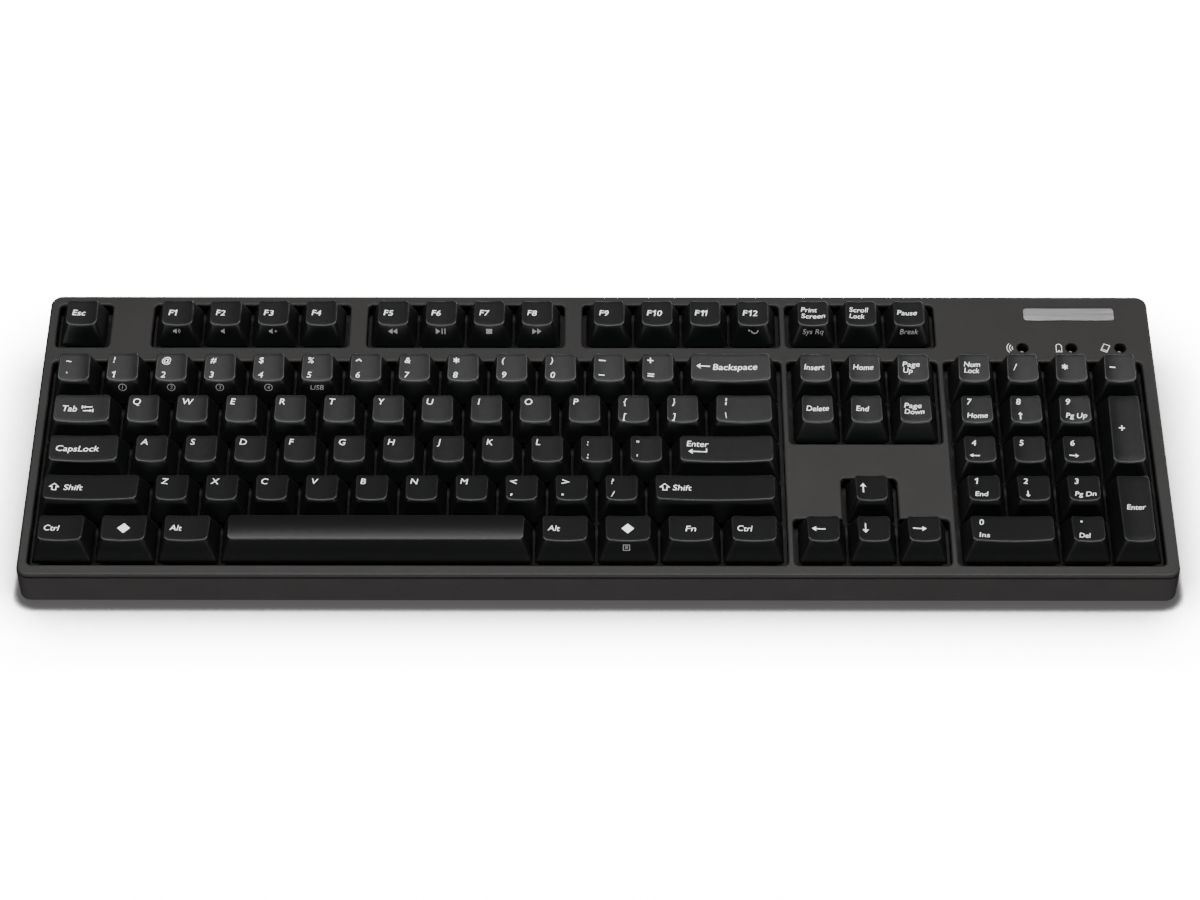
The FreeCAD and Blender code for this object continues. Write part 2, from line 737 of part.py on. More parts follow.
# Boxes over the flip feet, with a pocket for each foot and for its pins.
foot_axis_y = origin_back + foot_axis_behind
foot_tip_y = foot_axis_y - foot_length
foot_top = foot_axis_height + foot_radius
pin_reach = foot_width + 2 * foot_pin_length
foot_boxes = []
foot_pockets = []
for side in (-1, 1):
    x0 = side * foot_middle - foot_width / 2
    x1 = side * foot_middle + foot_width / 2
    foot_boxes.append(box(x0 - foot_box_side, x1 + foot_box_side,
                          foot_tip_y - finger_space - foot_box_end, foot_axis_y + foot_box_rear,
                          floor_top - lap, foot_top + foot_box_roof))
    foot_pockets.append(box(x0 - foot_play, x1 + foot_play, foot_tip_y - finger_space,
                            foot_axis_y + foot_radius + foot_play,
                            underside - over, foot_top + foot_play))
    foot_pockets.append(Part.makeCylinder(
        foot_pin + pin_play, pin_reach + foot_play,
        V(x0 - foot_pin_length - foot_play / 2, foot_axis_y, foot_axis_height), X_AXIS))
bottom_case = fuse([bottom_case] + bosses + [bay] + foot_boxes)

rubber_feet = []
pad_pockets = []
pad_top = underside + pad_recess
for offset, back, width, depth in (front_pad, rear_pad):
    for side in (-1, 1):
        x = side * offset
        y = origin_back + back + depth / 2
        rubber_feet.append(rounded_slab(x - width / 2, x + width / 2, y - depth / 2, y + depth / 2,
                                        0.0, pad_top, pad_corner))
        half_width = width / 2 + pad_play
        half_depth = depth / 2 + pad_play
        pad_pockets.append(rounded_slab(x - half_width, x + half_width, y - half_depth,
                                        y + half_depth, underside - over, pad_top,
                                        pad_corner + pad_play))
screw_wells = post_shapes(screw_head + screw_head_play, -far, screw_seat)
screw_wells += post_shapes(screw_hole, screw_seat - lap, 0.0)
deck_cuts = screw_wells + [socket_cut, power_cut, power_pocket, socket_pocket]
door_hole = box(bay_left, bay_right, bay_front, bay_rear, underside - over, floor_top + lap)
bottom_case = bottom_case.cut(Part.makeCompound(foot_pockets))
for cut in [on_deck(cut) for cut in deck_cuts] + pad_pockets + [door_hole]:
    bottom_case = bottom_case.cut(cut)


# ---- top cover: a shallow lid with an inner lip, skirts round its openings, and screw posts --------
def lip_block(inset, z0, z1):
    return rounded_slab(inset - case_half_width, case_half_width - inset,
                        case_front + inset, case_rear - inset, z0, z1, lip_corner)


def opening_slabs(grow, z0, z1):
    slabs = []
    for x0, x1, y0, y1 in openings:
        slabs.append(rounded_slab(column_x(x0) - grow, column_x(x1) + grow,
                                  y0 * pitch - grow, y1 * pitch + grow, z0, z1, cutout_corner))
    return slabs


cover = off_deck(upright_block(0.0, 0.0)).common(box(-far, far, -far, far, rim_underside, 0.0))
rim_edges = [edge for edge in cover.Edges if edge.BoundBox.ZMin > -lap]
cover = cover.makeFillet(cover_round, rim_edges)
cover_plate = lip_block(lip_inset, -cover_thickness, rim_underside + lap)
lip = lip_block(lip_inset, lip_bottom, lap - cover_thickness)
lip = lip.cut(lip_block(lip_inset + lip_thickness, lip_bottom - over, over))
skirts = opening_slabs(cutout_margin + cutout_skirt, cutout_skirt_bottom, lap - cover_thickness)
cover_posts = post_shapes(post_radius, post_bottom, lap - cover_thickness)
lamp_parts = [cylinder(x, lamp_row, lamp_hole + lamp_sleeve, lamp_sleeve_bottom,
                       lap - cover_thickness) for x in lamp_columns]
for left, right in zip(lamp_columns, lamp_columns[1:]):
    lamp_parts.append(cylinder((left + right) / 2, lamp_row, lamp_post, lamp_board_top,
                               lap - cover_thickness))
top_case = fuse([cover, cover_plate, lip] + skirts + cover_posts + lamp_parts)
for cut in opening_slabs(cutout_margin, cutout_skirt_bottom - over, over):
    top_case = top_case.cut(cut)
# Round the upper edges of all openings, but not the outer rim.
mouth_edges = []
for edge in top_case.Edges:
    bounds = edge.BoundBox
    across = max(abs(bounds.XMin), abs(bounds.XMax)) < case_half_width - lip_inset
    along = bounds.YMin > case_front + lip_inset and bounds.YMax < case_rear - lip_inset
    if bounds.ZMin > -lap and across and along:
        mouth_edges.append(edge)
top_case = top_case.makeFillet(cutout_edge, mouth_edges)
for x in lamp_columns:
    top_case = top_case.cut(cylinder(x, lamp_row, lamp_hole, lamp_board_top - over, over))


def badge_slab(grow, z1):
    x, y = badge_centre
    half_width = badge_size[0] / 2 + grow
    half_depth = badge_size[1] / 2 + grow
    return rounded_slab(x - half_width, x + half_width, y - half_depth, y + half_depth,
                        -badge_recess, z1, badge_corner + grow)


badge = badge_slab(0.0, badge_thickness - badge_recess)
top_case = top_case.cut(badge_slab(badge_play, over))
for pilot in post_shapes(screw_pilot, post_bottom - over, screw_tip + pad_recess):
    top_case = top_case.cut(pilot)

screws = []
slot_length, slot_width, slot_depth = screw_slot
head_bottom = screw_seat - screw_head_height
for x, y in posts:
    head = cylinder(x, y, screw_head, head_bottom, screw_seat)
    for width, depth in ((slot_length, slot_width), (slot_width, slot_length)):
        head = head.cut(centred_box(x, y, width, depth, head_bottom - over, head_bottom + slot_depth))
    screws.append(head.fuse(cylinder(x, y, screw_shank, screw_seat - lap, screw_tip)))


# ---- flip feet, batteries and battery door --------------------------------------------------------
def flip_foot(x):
    """Folding foot: a flat leg with a round heel and two pivot pins, folded into its pocket."""
    leg = box(x - foot_width / 2, x + foot_width / 2, foot_tip_y, foot_axis_y,
              foot_axis_height - foot_radius, foot_top)
    tip_edges = [edge for edge in leg.Edges if edge.BoundBox.YMax < foot_tip_y + lap
                 and edge.BoundBox.XMax - edge.BoundBox.XMin > foot_width / 2]
    leg = leg.makeFillet(foot_tip_round, tip_edges)
    heel = Part.makeCylinder(foot_radius, foot_width,
                             V(x - foot_width / 2, foot_axis_y, foot_axis_height), X_AXIS)
    pins = Part.makeCylinder(foot_pin, pin_reach,
                             V(x - pin_reach / 2, foot_axis_y, foot_axis_height), X_AXIS)
    return fuse([leg, heel, pins])


batteries = []
nub_radius, nub_length = cell_nub
for nub_x, back in zip((cell_left + cell_length, cell_left - nub_length), cell_rows):
    y = origin_back + back
    can = Part.makeCylinder(cell_radius, cell_length, V(cell_left, y, cell_height), X_AXIS)
    batteries.append(can.fuse(Part.makeCylinder(nub_radius, nub_length,
                                                V(nub_x, y, cell_height), X_AXIS)))
contacts = []
for x in (bay_left + contact_gap, bay_right - contact_gap - contact_thickness):
    contacts.append(box(x, x + contact_thickness, bay_front + contact_margin,
                        bay_rear - contact_margin, floor_top + contact_lift, contact_top))
door = box(bay_left + door_play, bay_right - door_play, bay_front + door_play,
           bay_rear - door_play, underside, floor_top)
door_middle = (bay_left + bay_right) / 2
for step in range(groove_count):
    groove_y = bay_front + groove_first + groove_pitch * step
    door = door.cut(box(door_middle - groove_length / 2, door_middle + groove_length / 2,
                        groove_y, groove_y + groove_width, underside - over,
                        underside + groove_depth))

# ---- export ---------------------------------------------------------------------------------------
os.makedirs("parts", exist_ok=True)
deck_nodes = dict(key_nodes)
deck_nodes.update({
    "top_case": [top_case],
    "switch_plate": [switch_plate],
    "circuit_board": [main_board, lamp_strip],
    "board_components": components,
    "switch_housings": switch_housings,
    "switch_springs": switch_springs,
    "stabilizer_housings": stabilizer_housings,
    "stabilizer_wires": stabilizer_wires,
    "case_screws": screws,
    "usb_socket": [usb_socket],
    "indicator_lenses": indicator_lenses,
    "badge_plate": [badge],
    "power_switch_knob": [power_knob],
})
for name, solids in deck_nodes.items():
    export(name, [on_deck(solid) for solid in solids])
export("bottom_case", [bottom_case])
export("rubber_feet", rubber_feet)
export("left_flip_foot", [flip_foot(-foot_middle)])
export("right_flip_foot", [flip_foot(foot_middle)])
export("batteries", batteries)
export("battery_contacts", contacts)
export("battery_door", [door])
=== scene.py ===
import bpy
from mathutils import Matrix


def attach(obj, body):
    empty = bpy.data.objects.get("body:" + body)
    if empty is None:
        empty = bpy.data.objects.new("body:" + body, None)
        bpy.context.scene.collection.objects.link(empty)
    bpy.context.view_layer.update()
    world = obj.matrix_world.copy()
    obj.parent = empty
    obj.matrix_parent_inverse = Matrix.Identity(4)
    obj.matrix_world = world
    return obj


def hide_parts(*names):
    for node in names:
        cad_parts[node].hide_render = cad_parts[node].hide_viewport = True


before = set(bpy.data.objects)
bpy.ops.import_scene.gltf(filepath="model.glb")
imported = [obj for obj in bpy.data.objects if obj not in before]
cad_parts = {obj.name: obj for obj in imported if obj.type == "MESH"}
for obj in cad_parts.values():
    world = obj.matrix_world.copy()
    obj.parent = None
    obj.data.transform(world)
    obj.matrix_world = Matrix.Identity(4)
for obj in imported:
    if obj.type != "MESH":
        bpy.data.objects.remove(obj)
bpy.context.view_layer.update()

import math
import bmesh
import bpy
from mathutils import Matrix, Vector

# ---- dimensions shared with the CAD part, millimetres --------------------------------------
PITCH = 19.05
COLUMNS = 22.5
SLOPE = math.radians(6.0)
DECK_FRONT_HEIGHT = 17.68
CASE_FRONT, CASE_REAR = -6.2, 130.0
ORIGIN_BACK = -(CASE_FRONT + CASE_REAR) * math.cos(SLOPE) / 2
BLOCK_OFFSET = -0.6
LEFT = BLOCK_OFFSET - COLUMNS / 2 * PITCH
CAP_BASE = -1.8
CAP_GAP = 0.475
CAP_WALL = 1.1
CAP_ROOF = 1.5
CAP_DISH = 0.9
CAP_CROWN = 0.7
BASE_CORNER = 0.9
TOP_CORNER = 1.9
SIDE_INSET = 3.5
SPARE = 1.0                    # side walls are drawn this far past the highest rim, then trimmed
SHOULDER = 0.5                 # top of the slider block, above the deck
CROSS_LENGTH, CROSS_WIDTH, CROSS_HEIGHT = 4.1, 1.3, 3.6
SLIDER = (6.4, 4.8, -4.7)      # width, depth and bottom level of a slider block
STABILIZER_STEM = (4.4, 2.8, -6.4)
STABILIZER_REACH = 11.9
SPACE_BAR_REACH = 50.0
LAMP_ROW = 103.3               # deck-frame places of the indicator lamps, along and across
LAMPS = (168.4, 187.75, 207.15)

# ---- finish of the keys, millimetres -----------------------------------------------------------
EDGE_ROUND = 0.38
LIFT = 0.03                    # legends stand this far off the plastic
FRONT_SIGN_LEVEL = 0.66        # place of a front sign, as a share of the face
# Painted shade: the inner walls' colour is blended to near black between these depths below the
# deck.
SHADE_BELOW = (1.4, 2.2)       # inner walls darken between these depths below the deck

# ---- studio, metres ------------------------------------------------------------------------------
FLOOR_GLOW = 14.0
WORLD = 0.02
TOP_POWER, FRONT_POWER, REAR_POWER = 60.0, 22.0, 30.0
LENS = 95.35
CAMERA_DISTANCE = 1.2326
CAMERA_AIM = (0.64, 52.75)     # deck-frame point in the middle of the view, millimetres

# Rows: start in spacings, then front inset, rear inset, front rim height, rear rim height.
ROWS = {
    "function": (5.5, 4.7, 2.85, 7.6, 8.0),
    "number": (4.0, 4.3, 2.75, 8.9, 10.3),
    "upper": (3.0, 4.0, 3.05, 7.9, 8.8),
    "home": (2.0, 4.4, 2.85, 7.5, 7.6),
    "lower": (1.0, 4.0, 3.35, 9.3, 8.5),
    "bottom": (0.0, 4.1, 3.25, 9.4, 8.5),
}


def deck(x, along, out):
    """Row-frame point, in metres, of a deck-frame point in millimetres."""
    y = ORIGIN_BACK + along * math.cos(SLOPE) - out * math.sin(SLOPE)
    z = DECK_FRONT_HEIGHT + along * math.sin(SLOPE) + out * math.cos(SLOPE)
    return Vector((x, y, z)) / 1000


# ---- materials -----------------------------------------------------------------------------------
def new_material(name):
    """A material with its node tree and shader."""
    material = bpy.data.materials.new(name)
    material.use_nodes = True
    tree = material.node_tree
    return material, tree, tree.nodes["Principled BSDF"]


def add_noise(tree, scale, detail=3.0, stretch=None):
    """Noise in the object's own coordinates, stretched if a scale for each axis is given."""
    coords = tree.nodes.new("ShaderNodeTexCoord")
    noise = tree.nodes.new("ShaderNodeTexNoise")
    noise.inputs["Scale"].default_value = scale
    noise.inputs["Detail"].default_value = detail
    if stretch:
        mapping = tree.nodes.new("ShaderNodeMapping")
        mapping.inputs["Scale"].default_value = stretch
        tree.links.new(coords.outputs["Object"], mapping.inputs["Vector"])
        tree.links.new(mapping.outputs["Vector"], noise.inputs["Vector"])
    else:
        tree.links.new(coords.outputs["Object"], noise.inputs["Vector"])
    return noise


def surface(name, colour, roughness, variation=0.06, grain=2500.0, bump=0.05, metallic=0.0,
            specular=0.5, stretch=None, coat=0.0):
    """Moulded or metal surface: slight cloudiness in colour, fine grain in gloss and relief."""
    material, tree, shader = new_material(name)
    cloud = add_noise(tree, 60.0, 4.0)
    ramp = tree.nodes.new("ShaderNodeValToRGB")
    ramp.color_ramp.elements[0].position = 0.3
    ramp.color_ramp.elements[1].position = 0.7
    ramp.color_ramp.elements[0].color = [c * (1 - variation) for c in colour] + [1]
    ramp.color_ramp.elements[1].color = [c * (1 + variation) for c in colour] + [1]
    tree.links.new(cloud.outputs["Fac"], ramp.inputs["Fac"])
    tree.links.new(ramp.outputs["Color"], shader.inputs["Base Color"])
    fine = add_noise(tree, grain, 2.0, stretch)
    gloss = tree.nodes.new("ShaderNodeMapRange")
    gloss.inputs["To Min"].default_value = roughness - 0.04
    gloss.inputs["To Max"].default_value = roughness + 0.04
    tree.links.new(fine.outputs["Fac"], gloss.inputs["Value"])
    tree.links.new(gloss.outputs["Result"], shader.inputs["Roughness"])
    relief = tree.nodes.new("ShaderNodeBump")
    relief.inputs["Strength"].default_value = bump
    relief.inputs["Distance"].default_value = 0.0002
    tree.links.new(fine.outputs["Fac"], relief.inputs["Height"])
    tree.links.new(relief.outputs["Normal"], shader.inputs["Normal"])
    shader.inputs["Metallic"].default_value = metallic
    shader.inputs["Specular IOR Level"].default_value = specular
    if coat:
        shader.inputs["Coat Weight"].default_value = coat
        shader.inputs["Coat Roughness"].default_value = 0.2
    return material


def paint_inner_wall_shade(material):
    """Painted shade: blends the colour to near black below the rim's underside, where little light
    reaches.
    """
    tree = material.node_tree
    shader = tree.nodes["Principled BSDF"]
    colour = shader.inputs["Base Color"].links[0].from_socket
    coords = tree.nodes.new("ShaderNodeTexCoord")
    above = tree.nodes.new("ShaderNodeVectorMath")
    above.operation = "DOT_PRODUCT"
    above.inputs[1].default_value = (0, -math.sin(SLOPE), math.cos(SLOPE))
    tree.links.new(coords.outputs["Object"], above.inputs[0])
    origin = deck(0, 0, 0)
    level = origin.z * math.cos(SLOPE) - origin.y * math.sin(SLOPE)
    fade = tree.nodes.new("ShaderNodeMapRange")
    fade.inputs["From Min"].default_value = level - SHADE_BELOW[1] / 1000
    fade.inputs["From Max"].default_value = level - SHADE_BELOW[0] / 1000
    tree.links.new(above.outputs["Value"], fade.inputs["Value"])
    blend = tree.nodes.new("ShaderNodeMix")
    blend.data_type = "RGBA"
    blend.inputs[6].default_value = (0.002, 0.002, 0.002, 1)
    tree.links.new(fade.outputs["Result"], blend.inputs[0])
    tree.links.new(colour, blend.inputs[7])
    tree.links.new(blend.outputs[2], shader.inputs["Base Color"])


deck_plastic = surface("deck_plastic", (0.0190, 0.0182, 0.0177), 0.45, bump=0.1, grain=1800.0,
                       specular=0.15)
shell_plastic = surface("shell_plastic", (0.043, 0.0405, 0.040), 0.5, bump=0.2, grain=1800.0,
                        specular=0.3)
# Painted shade on the deck's inner walls, below the rim of its openings.
paint_inner_wall_shade(deck_plastic)
key_plastic = surface("key_plastic", (0.0055, 0.0056, 0.0060), 0.33, bump=0.12, specular=0.16)
key_edge = surface("key_edge", (0.008, 0.008, 0.0085), 0.3, bump=0.05, specular=0.32)
stem_plastic = surface("stem_plastic", (0.05, 0.03, 0.02), 0.4)
steel_paint = surface("plate_paint", (0.008, 0.008, 0.0083), 0.55, specular=0.25)
laminate = surface("laminate", (0.01, 0.05, 0.02), 0.35)
black_plastic = surface("black_plastic", (0.004, 0.004, 0.0042), 0.55, specular=0.05)
bright_steel = surface("bright_steel", (0.6, 0.6, 0.6), 0.3, metallic=1.0)
rubber = surface("rubber", (0.02, 0.02, 0.02), 0.8, bump=0.3)
film = surface("battery_film", (0.05, 0.08, 0.14), 0.3, coat=0.3)
lens = surface("lens", (0.25, 0.25, 0.24), 0.3)
badge_metal = surface("badge_metal", (0.42, 0.42, 0.43), 0.32, metallic=1.0, bump=0.3,
                      grain=900.0, stretch=(0.06, 3.0, 1.0))
legend_white = surface("legend_white", (0.90, 0.91, 0.93), 0.5, variation=0.02)
legend_grey = surface("legend_grey", (0.36, 0.36, 0.37), 0.5, variation=0.02)

node_materials = {
    "top_case": deck_plastic, "bottom_case": shell_plastic, "switch_plate": steel_paint,
    "circuit_board": laminate, "board_components": black_plastic,
    "switch_housings": black_plastic, "switch_springs": bright_steel,
    "stabilizer_housings": black_plastic, "stabilizer_wires": bright_steel,
    "case_screws": bright_steel, "rubber_feet": rubber, "left_flip_foot": shell_plastic,
    "right_flip_foot": shell_plastic, "battery_door": shell_plastic, "batteries": film,
    "battery_contacts": bright_steel, "usb_socket": bright_steel, "indicator_lenses": lens,
    "badge_plate": badge_metal, "power_switch_knob": black_plastic,
}
for name, material in node_materials.items():
    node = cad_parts[name]
    node.data.materials.clear()
    node.data.materials.append(material)


# ---- key caps ------------------------------------------------------------------------------------
class Cap:
    """Form of one key cap: X from the cell's middle, Y from its front, height from the deck."""

    def __init__(self, width_units, depth_units, profile):
        self.width = width_units * PITCH
        self.depth = depth_units * PITCH
        self.front, self.rear, self.front_rim, self.rear_rim = profile
        self.convex = width_units > 6
        self.run = self.depth - self.front - self.rear
        self.half = self.run / 2 if self.convex else self.width / 2 - SIDE_INSET
        rise = CAP_CROWN if self.convex else CAP_DISH
        self.radius = (self.half ** 2 + rise ** 2) / (2 * rise)
        self.top_height = max(self.front_rim, self.rear_rim) + SPARE

    def arch(self, offset):
        """Height of the top's arc above its ends."""
        offset = min(abs(offset), self.radius * 0.99)
        middle = math.sqrt(self.radius ** 2 - self.half ** 2)
        return math.sqrt(self.radius ** 2 - offset ** 2) - middle

    def top(self, x, y):
        """Height of the shaped top."""
        plane = self.front_rim + (self.rear_rim - self.front_rim) * (y - self.front) / self.run
        if self.convex:
            return plane + self.arch(y - self.front - self.run / 2)
        return plane - self.arch(x)

    def inset(self, rim, rim_height, height):
        """How far a wall leans in from the cell's edge at a height."""
        return CAP_GAP + (rim - CAP_GAP) * (height - CAP_BASE) / (rim_height - CAP_BASE)

    def ring(self, height, shrink, counts):
        """Rounded rectangle of the side walls at a height, anticlockwise from the front right.

        The counts are the segments across and along the cap and around each corner.
        """
        side = self.inset(SIDE_INSET, (self.front_rim + self.rear_rim) / 2, height) + shrink
        reach = (height - CAP_BASE) / (self.top_height - CAP_BASE)
        corner = max(BASE_CORNER + (TOP_CORNER - BASE_CORNER) * reach - shrink / 2, 0.3)
        x0, x1 = side - self.width / 2, self.width / 2 - side
        y0 = self.inset(self.front, self.front_rim, height) + shrink
        y1 = self.depth - self.inset(self.rear, self.rear_rim, height) - shrink
        across, along, turn = counts
        points = []
        corners = [(x1 - corner, y0 + corner, -90), (x1 - corner, y1 - corner, 0),
                   (x0 + corner, y1 - corner, 90), (x0 + corner, y0 + corner, 180)]
        for index, (cx, cy, start) in enumerate(corners):
            for step in range(turn + 1):
                angle = math.radians(start + 90 * step / turn)
                points.append((cx + corner * math.cos(angle), cy + corner * math.sin(angle)))
            nx, ny, following = corners[(index + 1) % 4]
            angle = math.radians(following)
            end = (nx + corner * math.cos(angle), ny + corner * math.sin(angle))
            last = points[-1]
            segments = along if index % 2 == 0 else across
            for step in range(1, segments):
                part = step / segments
                points.append((last[0] + (end[0] - last[0]) * part,
                               last[1] + (end[1] - last[1]) * part))
        return points

    def rings(self):
        """Closed rings of the shell, from the ceiling inside to the middle of the top."""
        across = max(10, round(self.width / 2.0)) if not self.convex else 8
        along = max(4, round(self.depth / 3.0)) if not self.convex else 14
        counts = (across, along, 5)
        ceiling = min(self.front_rim, self.rear_rim) - CAP_DISH - CAP_ROOF
        rings = [[Vector((x, y, ceiling)) for x, y in self.ring(ceiling, CAP_WALL, counts)],
                 [Vector((x, y, CAP_BASE)) for x, y in self.ring(CAP_BASE, CAP_WALL, counts)]]
        feet = [Vector((x, y, CAP_BASE)) for x, y in self.ring(CAP_BASE, 0.0, counts)]
        heads = [Vector((x, y, self.top_height))
                 for x, y in self.ring(self.top_height, 0.0, counts)]
        rings.append(feet)
        # The rim is where each line up the wall meets the shaped top, found by halving.
        rims = []
        for foot, head in zip(feet, heads):
            low, high = 0.0, 1.0
            for _ in range(24):
                middle = (low + high) / 2
                point = foot.lerp(head, middle)
                if point.z < self.top(point.x, point.y):
                    low = middle
                else:
                    high = middle
            rims.append(foot.lerp(head, low))
        number = len(rims)
        below, inside = [], []
        for index, rim in enumerate(rims):
            down = (feet[index] - rim).normalized()
            below.append(rim + down * EDGE_ROUND)
            tangent = rims[(index + 1) % number] - rims[index - 1]
            inward = Vector((-tangent.y, tangent.x, 0)).normalized() * EDGE_ROUND
            x, y = rim.x + inward.x, rim.y + inward.y
            inside.append(Vector((x, y, self.top(x, y))))
        for part in (0.35, 0.7):
            rings.append([foot.lerp(low, part) for foot, low in zip(feet, below)])
        for step in range(6):
            t = step / 5
            rings.append([low * (1 - t) ** 2 + rim * 2 * t * (1 - t) + top * t ** 2
                          for low, rim, top in zip(below, rims, inside)])
        centre = Vector((0, self.front + self.run / 2, 0))
        for part in (0.8, 0.6, 0.4, 0.2):
            ring = []
            for point in inside:
                x = centre.x + (point.x - centre.x) * part
                y = centre.y + (point.y - centre.y) * part
                ring.append(Vector((x, y, self.top(x, y))))
            rings.append(ring)
        return rings, centre


def box_faces(x0, x1, y0, y1, z0, z1):
    """Corners and faces of a box."""
    outline = ((x0, y0), (x1, y0), (x1, y1), (x0, y1))
    corners = [Vector((x, y, z)) for z in (z0, z1) for x, y in outline]
    faces = [(3, 2, 1, 0), (4, 5, 6, 7), (0, 1, 5, 4), (1, 2, 6, 5), (2, 3, 7, 6), (3, 0, 4, 7)]
    return corners, faces


EDGE_LEVELS = range(5, 10)     # the rings of faces that round the rim


def cap_shell(cap):
    """Vertices and faces of a cap, closed inside and out."""
    rings, centre = cap.rings()
    number = len(rings[0])
    vertices = [point for ring in rings for point in ring]
    faces, kinds = [], []
    for level in range(len(rings) - 1):
        for index in range(number):
            following = (index + 1) % number
            kinds.append(2 if level in EDGE_LEVELS else 0)
            faces.append((level * number + index, level * number + following,
                          (level + 1) * number + following, (level + 1) * number + index))
    vertices.append(Vector((centre.x, centre.y, rings[0][0].z)))
    low_centre = len(vertices) - 1
    vertices.append(Vector((centre.x, centre.y, cap.top(centre.x, centre.y))))
    high_centre = len(vertices) - 1
    last = (len(rings) - 1) * number
    for index in range(number):
        following = (index + 1) % number
        faces.append((following, index, low_centre))
        faces.append((last + index, last + following, high_centre))
        kinds.extend((0, 0))
    return vertices, faces, kinds


def stem_offsets(width_units, depth_units):
    """Places of a key's stabilizer stems, from its middle."""
    if width_units > 6:
        return [(-SPACE_BAR_REACH, 0.0), (SPACE_BAR_REACH, 0.0)]
    if width_units >= 2:
        return [(-STABILIZER_REACH, 0.0), (STABILIZER_REACH, 0.0)]
    if depth_units >= 2:
        return [(0.0, -STABILIZER_REACH), (0.0, STABILIZER_REACH)]
    return []


def stem_boxes(x, y, width, depth, bottom):
    """Slider block and its cross post."""
    bars = [(width / 2, depth / 2, bottom, SHOULDER),
            (CROSS_LENGTH / 2, CROSS_WIDTH / 2, SHOULDER, SHOULDER + CROSS_HEIGHT),
            (CROSS_WIDTH / 2, CROSS_LENGTH / 2, SHOULDER, SHOULDER + CROSS_HEIGHT)]
    return [(x - dx, x + dx, y - dy, y + dy, low, high) for dx, dy, low, high in bars]


class Pile:
    """Vertices and faces gathered for one mesh."""

    def __init__(self):
        self.vertices = []
        self.faces = []
        self.kinds = []

    def add(self, vertices, faces, kinds=0):
        """Kinds, the faces' material numbers, may be one number for them all."""
        start = len(self.vertices)
        self.vertices.extend(vertices)
        self.faces.extend(tuple(start + index for index in face) for face in faces)
        self.kinds.extend([kinds] * len(faces) if isinstance(kinds, int) else kinds)

    def make(self, name, materials, smooth_angle=None):
        """The finished object, smooth across edges gentler than the angle, if one is given."""
        mesh = bpy.data.meshes.new(name)
        mesh.from_pydata([tuple(v) for v in self.vertices], [], self.faces)
        for material in materials:
            mesh.materials.append(material)
        mesh.polygons.foreach_set("material_index", self.kinds)
        if smooth_angle:
            mesh.polygons.foreach_set("use_smooth", [True] * len(mesh.polygons))
            mesh.set_sharp_from_angle(angle=math.radians(smooth_angle))
        mesh.update()
        piece = bpy.data.objects.new(name, mesh)
        bpy.context.scene.collection.objects.link(piece)
        return piece


# ---- glyphs -------------------------------------------------------------------------------------
SLANT = math.tan(math.radians(9.0))
STRIP = 0.7                    # width of the strips that follow a curved top
THIN = 0.42                    # stroke of the drawn signs
FINE = 0.28                    # stroke of the small signs on front faces
ICON_STROKE = 0.22             # stroke of the icons beside the lamps
LETTER, WORD, SHIFTED = 2.7, 2.6, 2.5
SMALL_WORD, SMALLER_WORD, STACKED_WORD = 2.3, 2.2, 2.15
text_cache = {}


def flat_text(text):
    """Triangles of a line of text, its capital height 1, starting at zero."""
    if text in text_cache:
        return text_cache[text]
    curve = bpy.data.curves.new("text", "FONT")
    curve.body = text
    curve.resolution_u = 4
    holder = bpy.data.objects.new("text", curve)
    bpy.context.scene.collection.objects.link(holder)
    bpy.context.view_layer.update()
    shown = holder.evaluated_get(bpy.context.evaluated_depsgraph_get())
    mesh = bpy.data.meshes.new_from_object(shown)
    vertices = [v.co.copy() for v in mesh.vertices]
    faces = [tuple(p.vertices) for p in mesh.polygons]
    bpy.data.objects.remove(holder)
    bpy.data.curves.remove(curve)
    bpy.data.meshes.remove(mesh)
    text_cache[text] = (vertices, faces)
    return text_cache[text]


capital_height = max(v.y for v in flat_text("H")[0])


def text_shape(text, height, width=None):
    """Text with a capital height, squeezed to a width and slanted: points and faces."""
    vertices, faces = flat_text(text)
    scale = height / capital_height
    x0 = min(v.x for v in vertices)
    x1 = max(v.x for v in vertices)
    stretch = width / (x1 - x0) if width else scale
    points = []
    for v in vertices:
        y = v.y * scale
        points.append(Vector(((v.x - x0) * stretch + y * SLANT, y, 0)))
    return points, faces


def ribbon(path, thickness, closed=False):
    """Flat stroke of even thickness along a path of (x, y) points."""
    points = [Vector((x, y, 0)) for x, y in path]
    number = len(points)
    left, right = [], []
    for index, point in enumerate(points):
        before = points[index - 1] if index or closed else point
        after = points[(index + 1) % number] if index < number - 1 or closed else point
        first = (point - before).normalized() if (point - before).length else None
        second = (after - point).normalized() if (after - point).length else None
        first = first or second
        second = second or first
        bisector = (Vector((-first.y, first.x, 0)) + Vector((-second.y, second.x, 0))).normalized()
        spread = thickness / 2 / max(bisector.dot(Vector((-first.y, first.x, 0))), 0.5)
        left.append(point + bisector * spread)
        right.append(point - bisector * spread)
    vertices = left + right
    faces = []
    for index in range(number if closed else number - 1):
        following = (index + 1) % number
        faces.append((index, number + index, number + following, following))
    return vertices, faces


def arc(cx, cy, radius, start, end, steps=16):
    """Points along an arc, angles in degrees."""
    angles = [math.radians(start + (end - start) * step / steps) for step in range(steps + 1)]
    return [(cx + radius * math.cos(a), cy + radius * math.sin(a)) for a in angles]


def ring(radius):
    """Points of a full circle, for a closed path."""
    return arc(0, 0, radius, 0, 345, 23)


def polygon(*points):
    """Filled shape with the given outline."""
    return [Vector((x, y, 0)) for x, y in points], [tuple(range(len(points)))]


def join(*shapes):
    """One shape made of several."""
    vertices, faces = [], []
    for shape_vertices, shape_faces in shapes:
        start = len(vertices)
        vertices.extend(shape_vertices)
        faces.extend(tuple(start + i for i in face) for face in shape_faces)
    return vertices, faces


def moved(shape, dx, dy, scale=1.0):
    """The shape scaled about its origin, then shifted."""
    vertices, faces = shape
    return [Vector((v.x * scale + dx, v.y * scale + dy, 0)) for v in vertices], faces


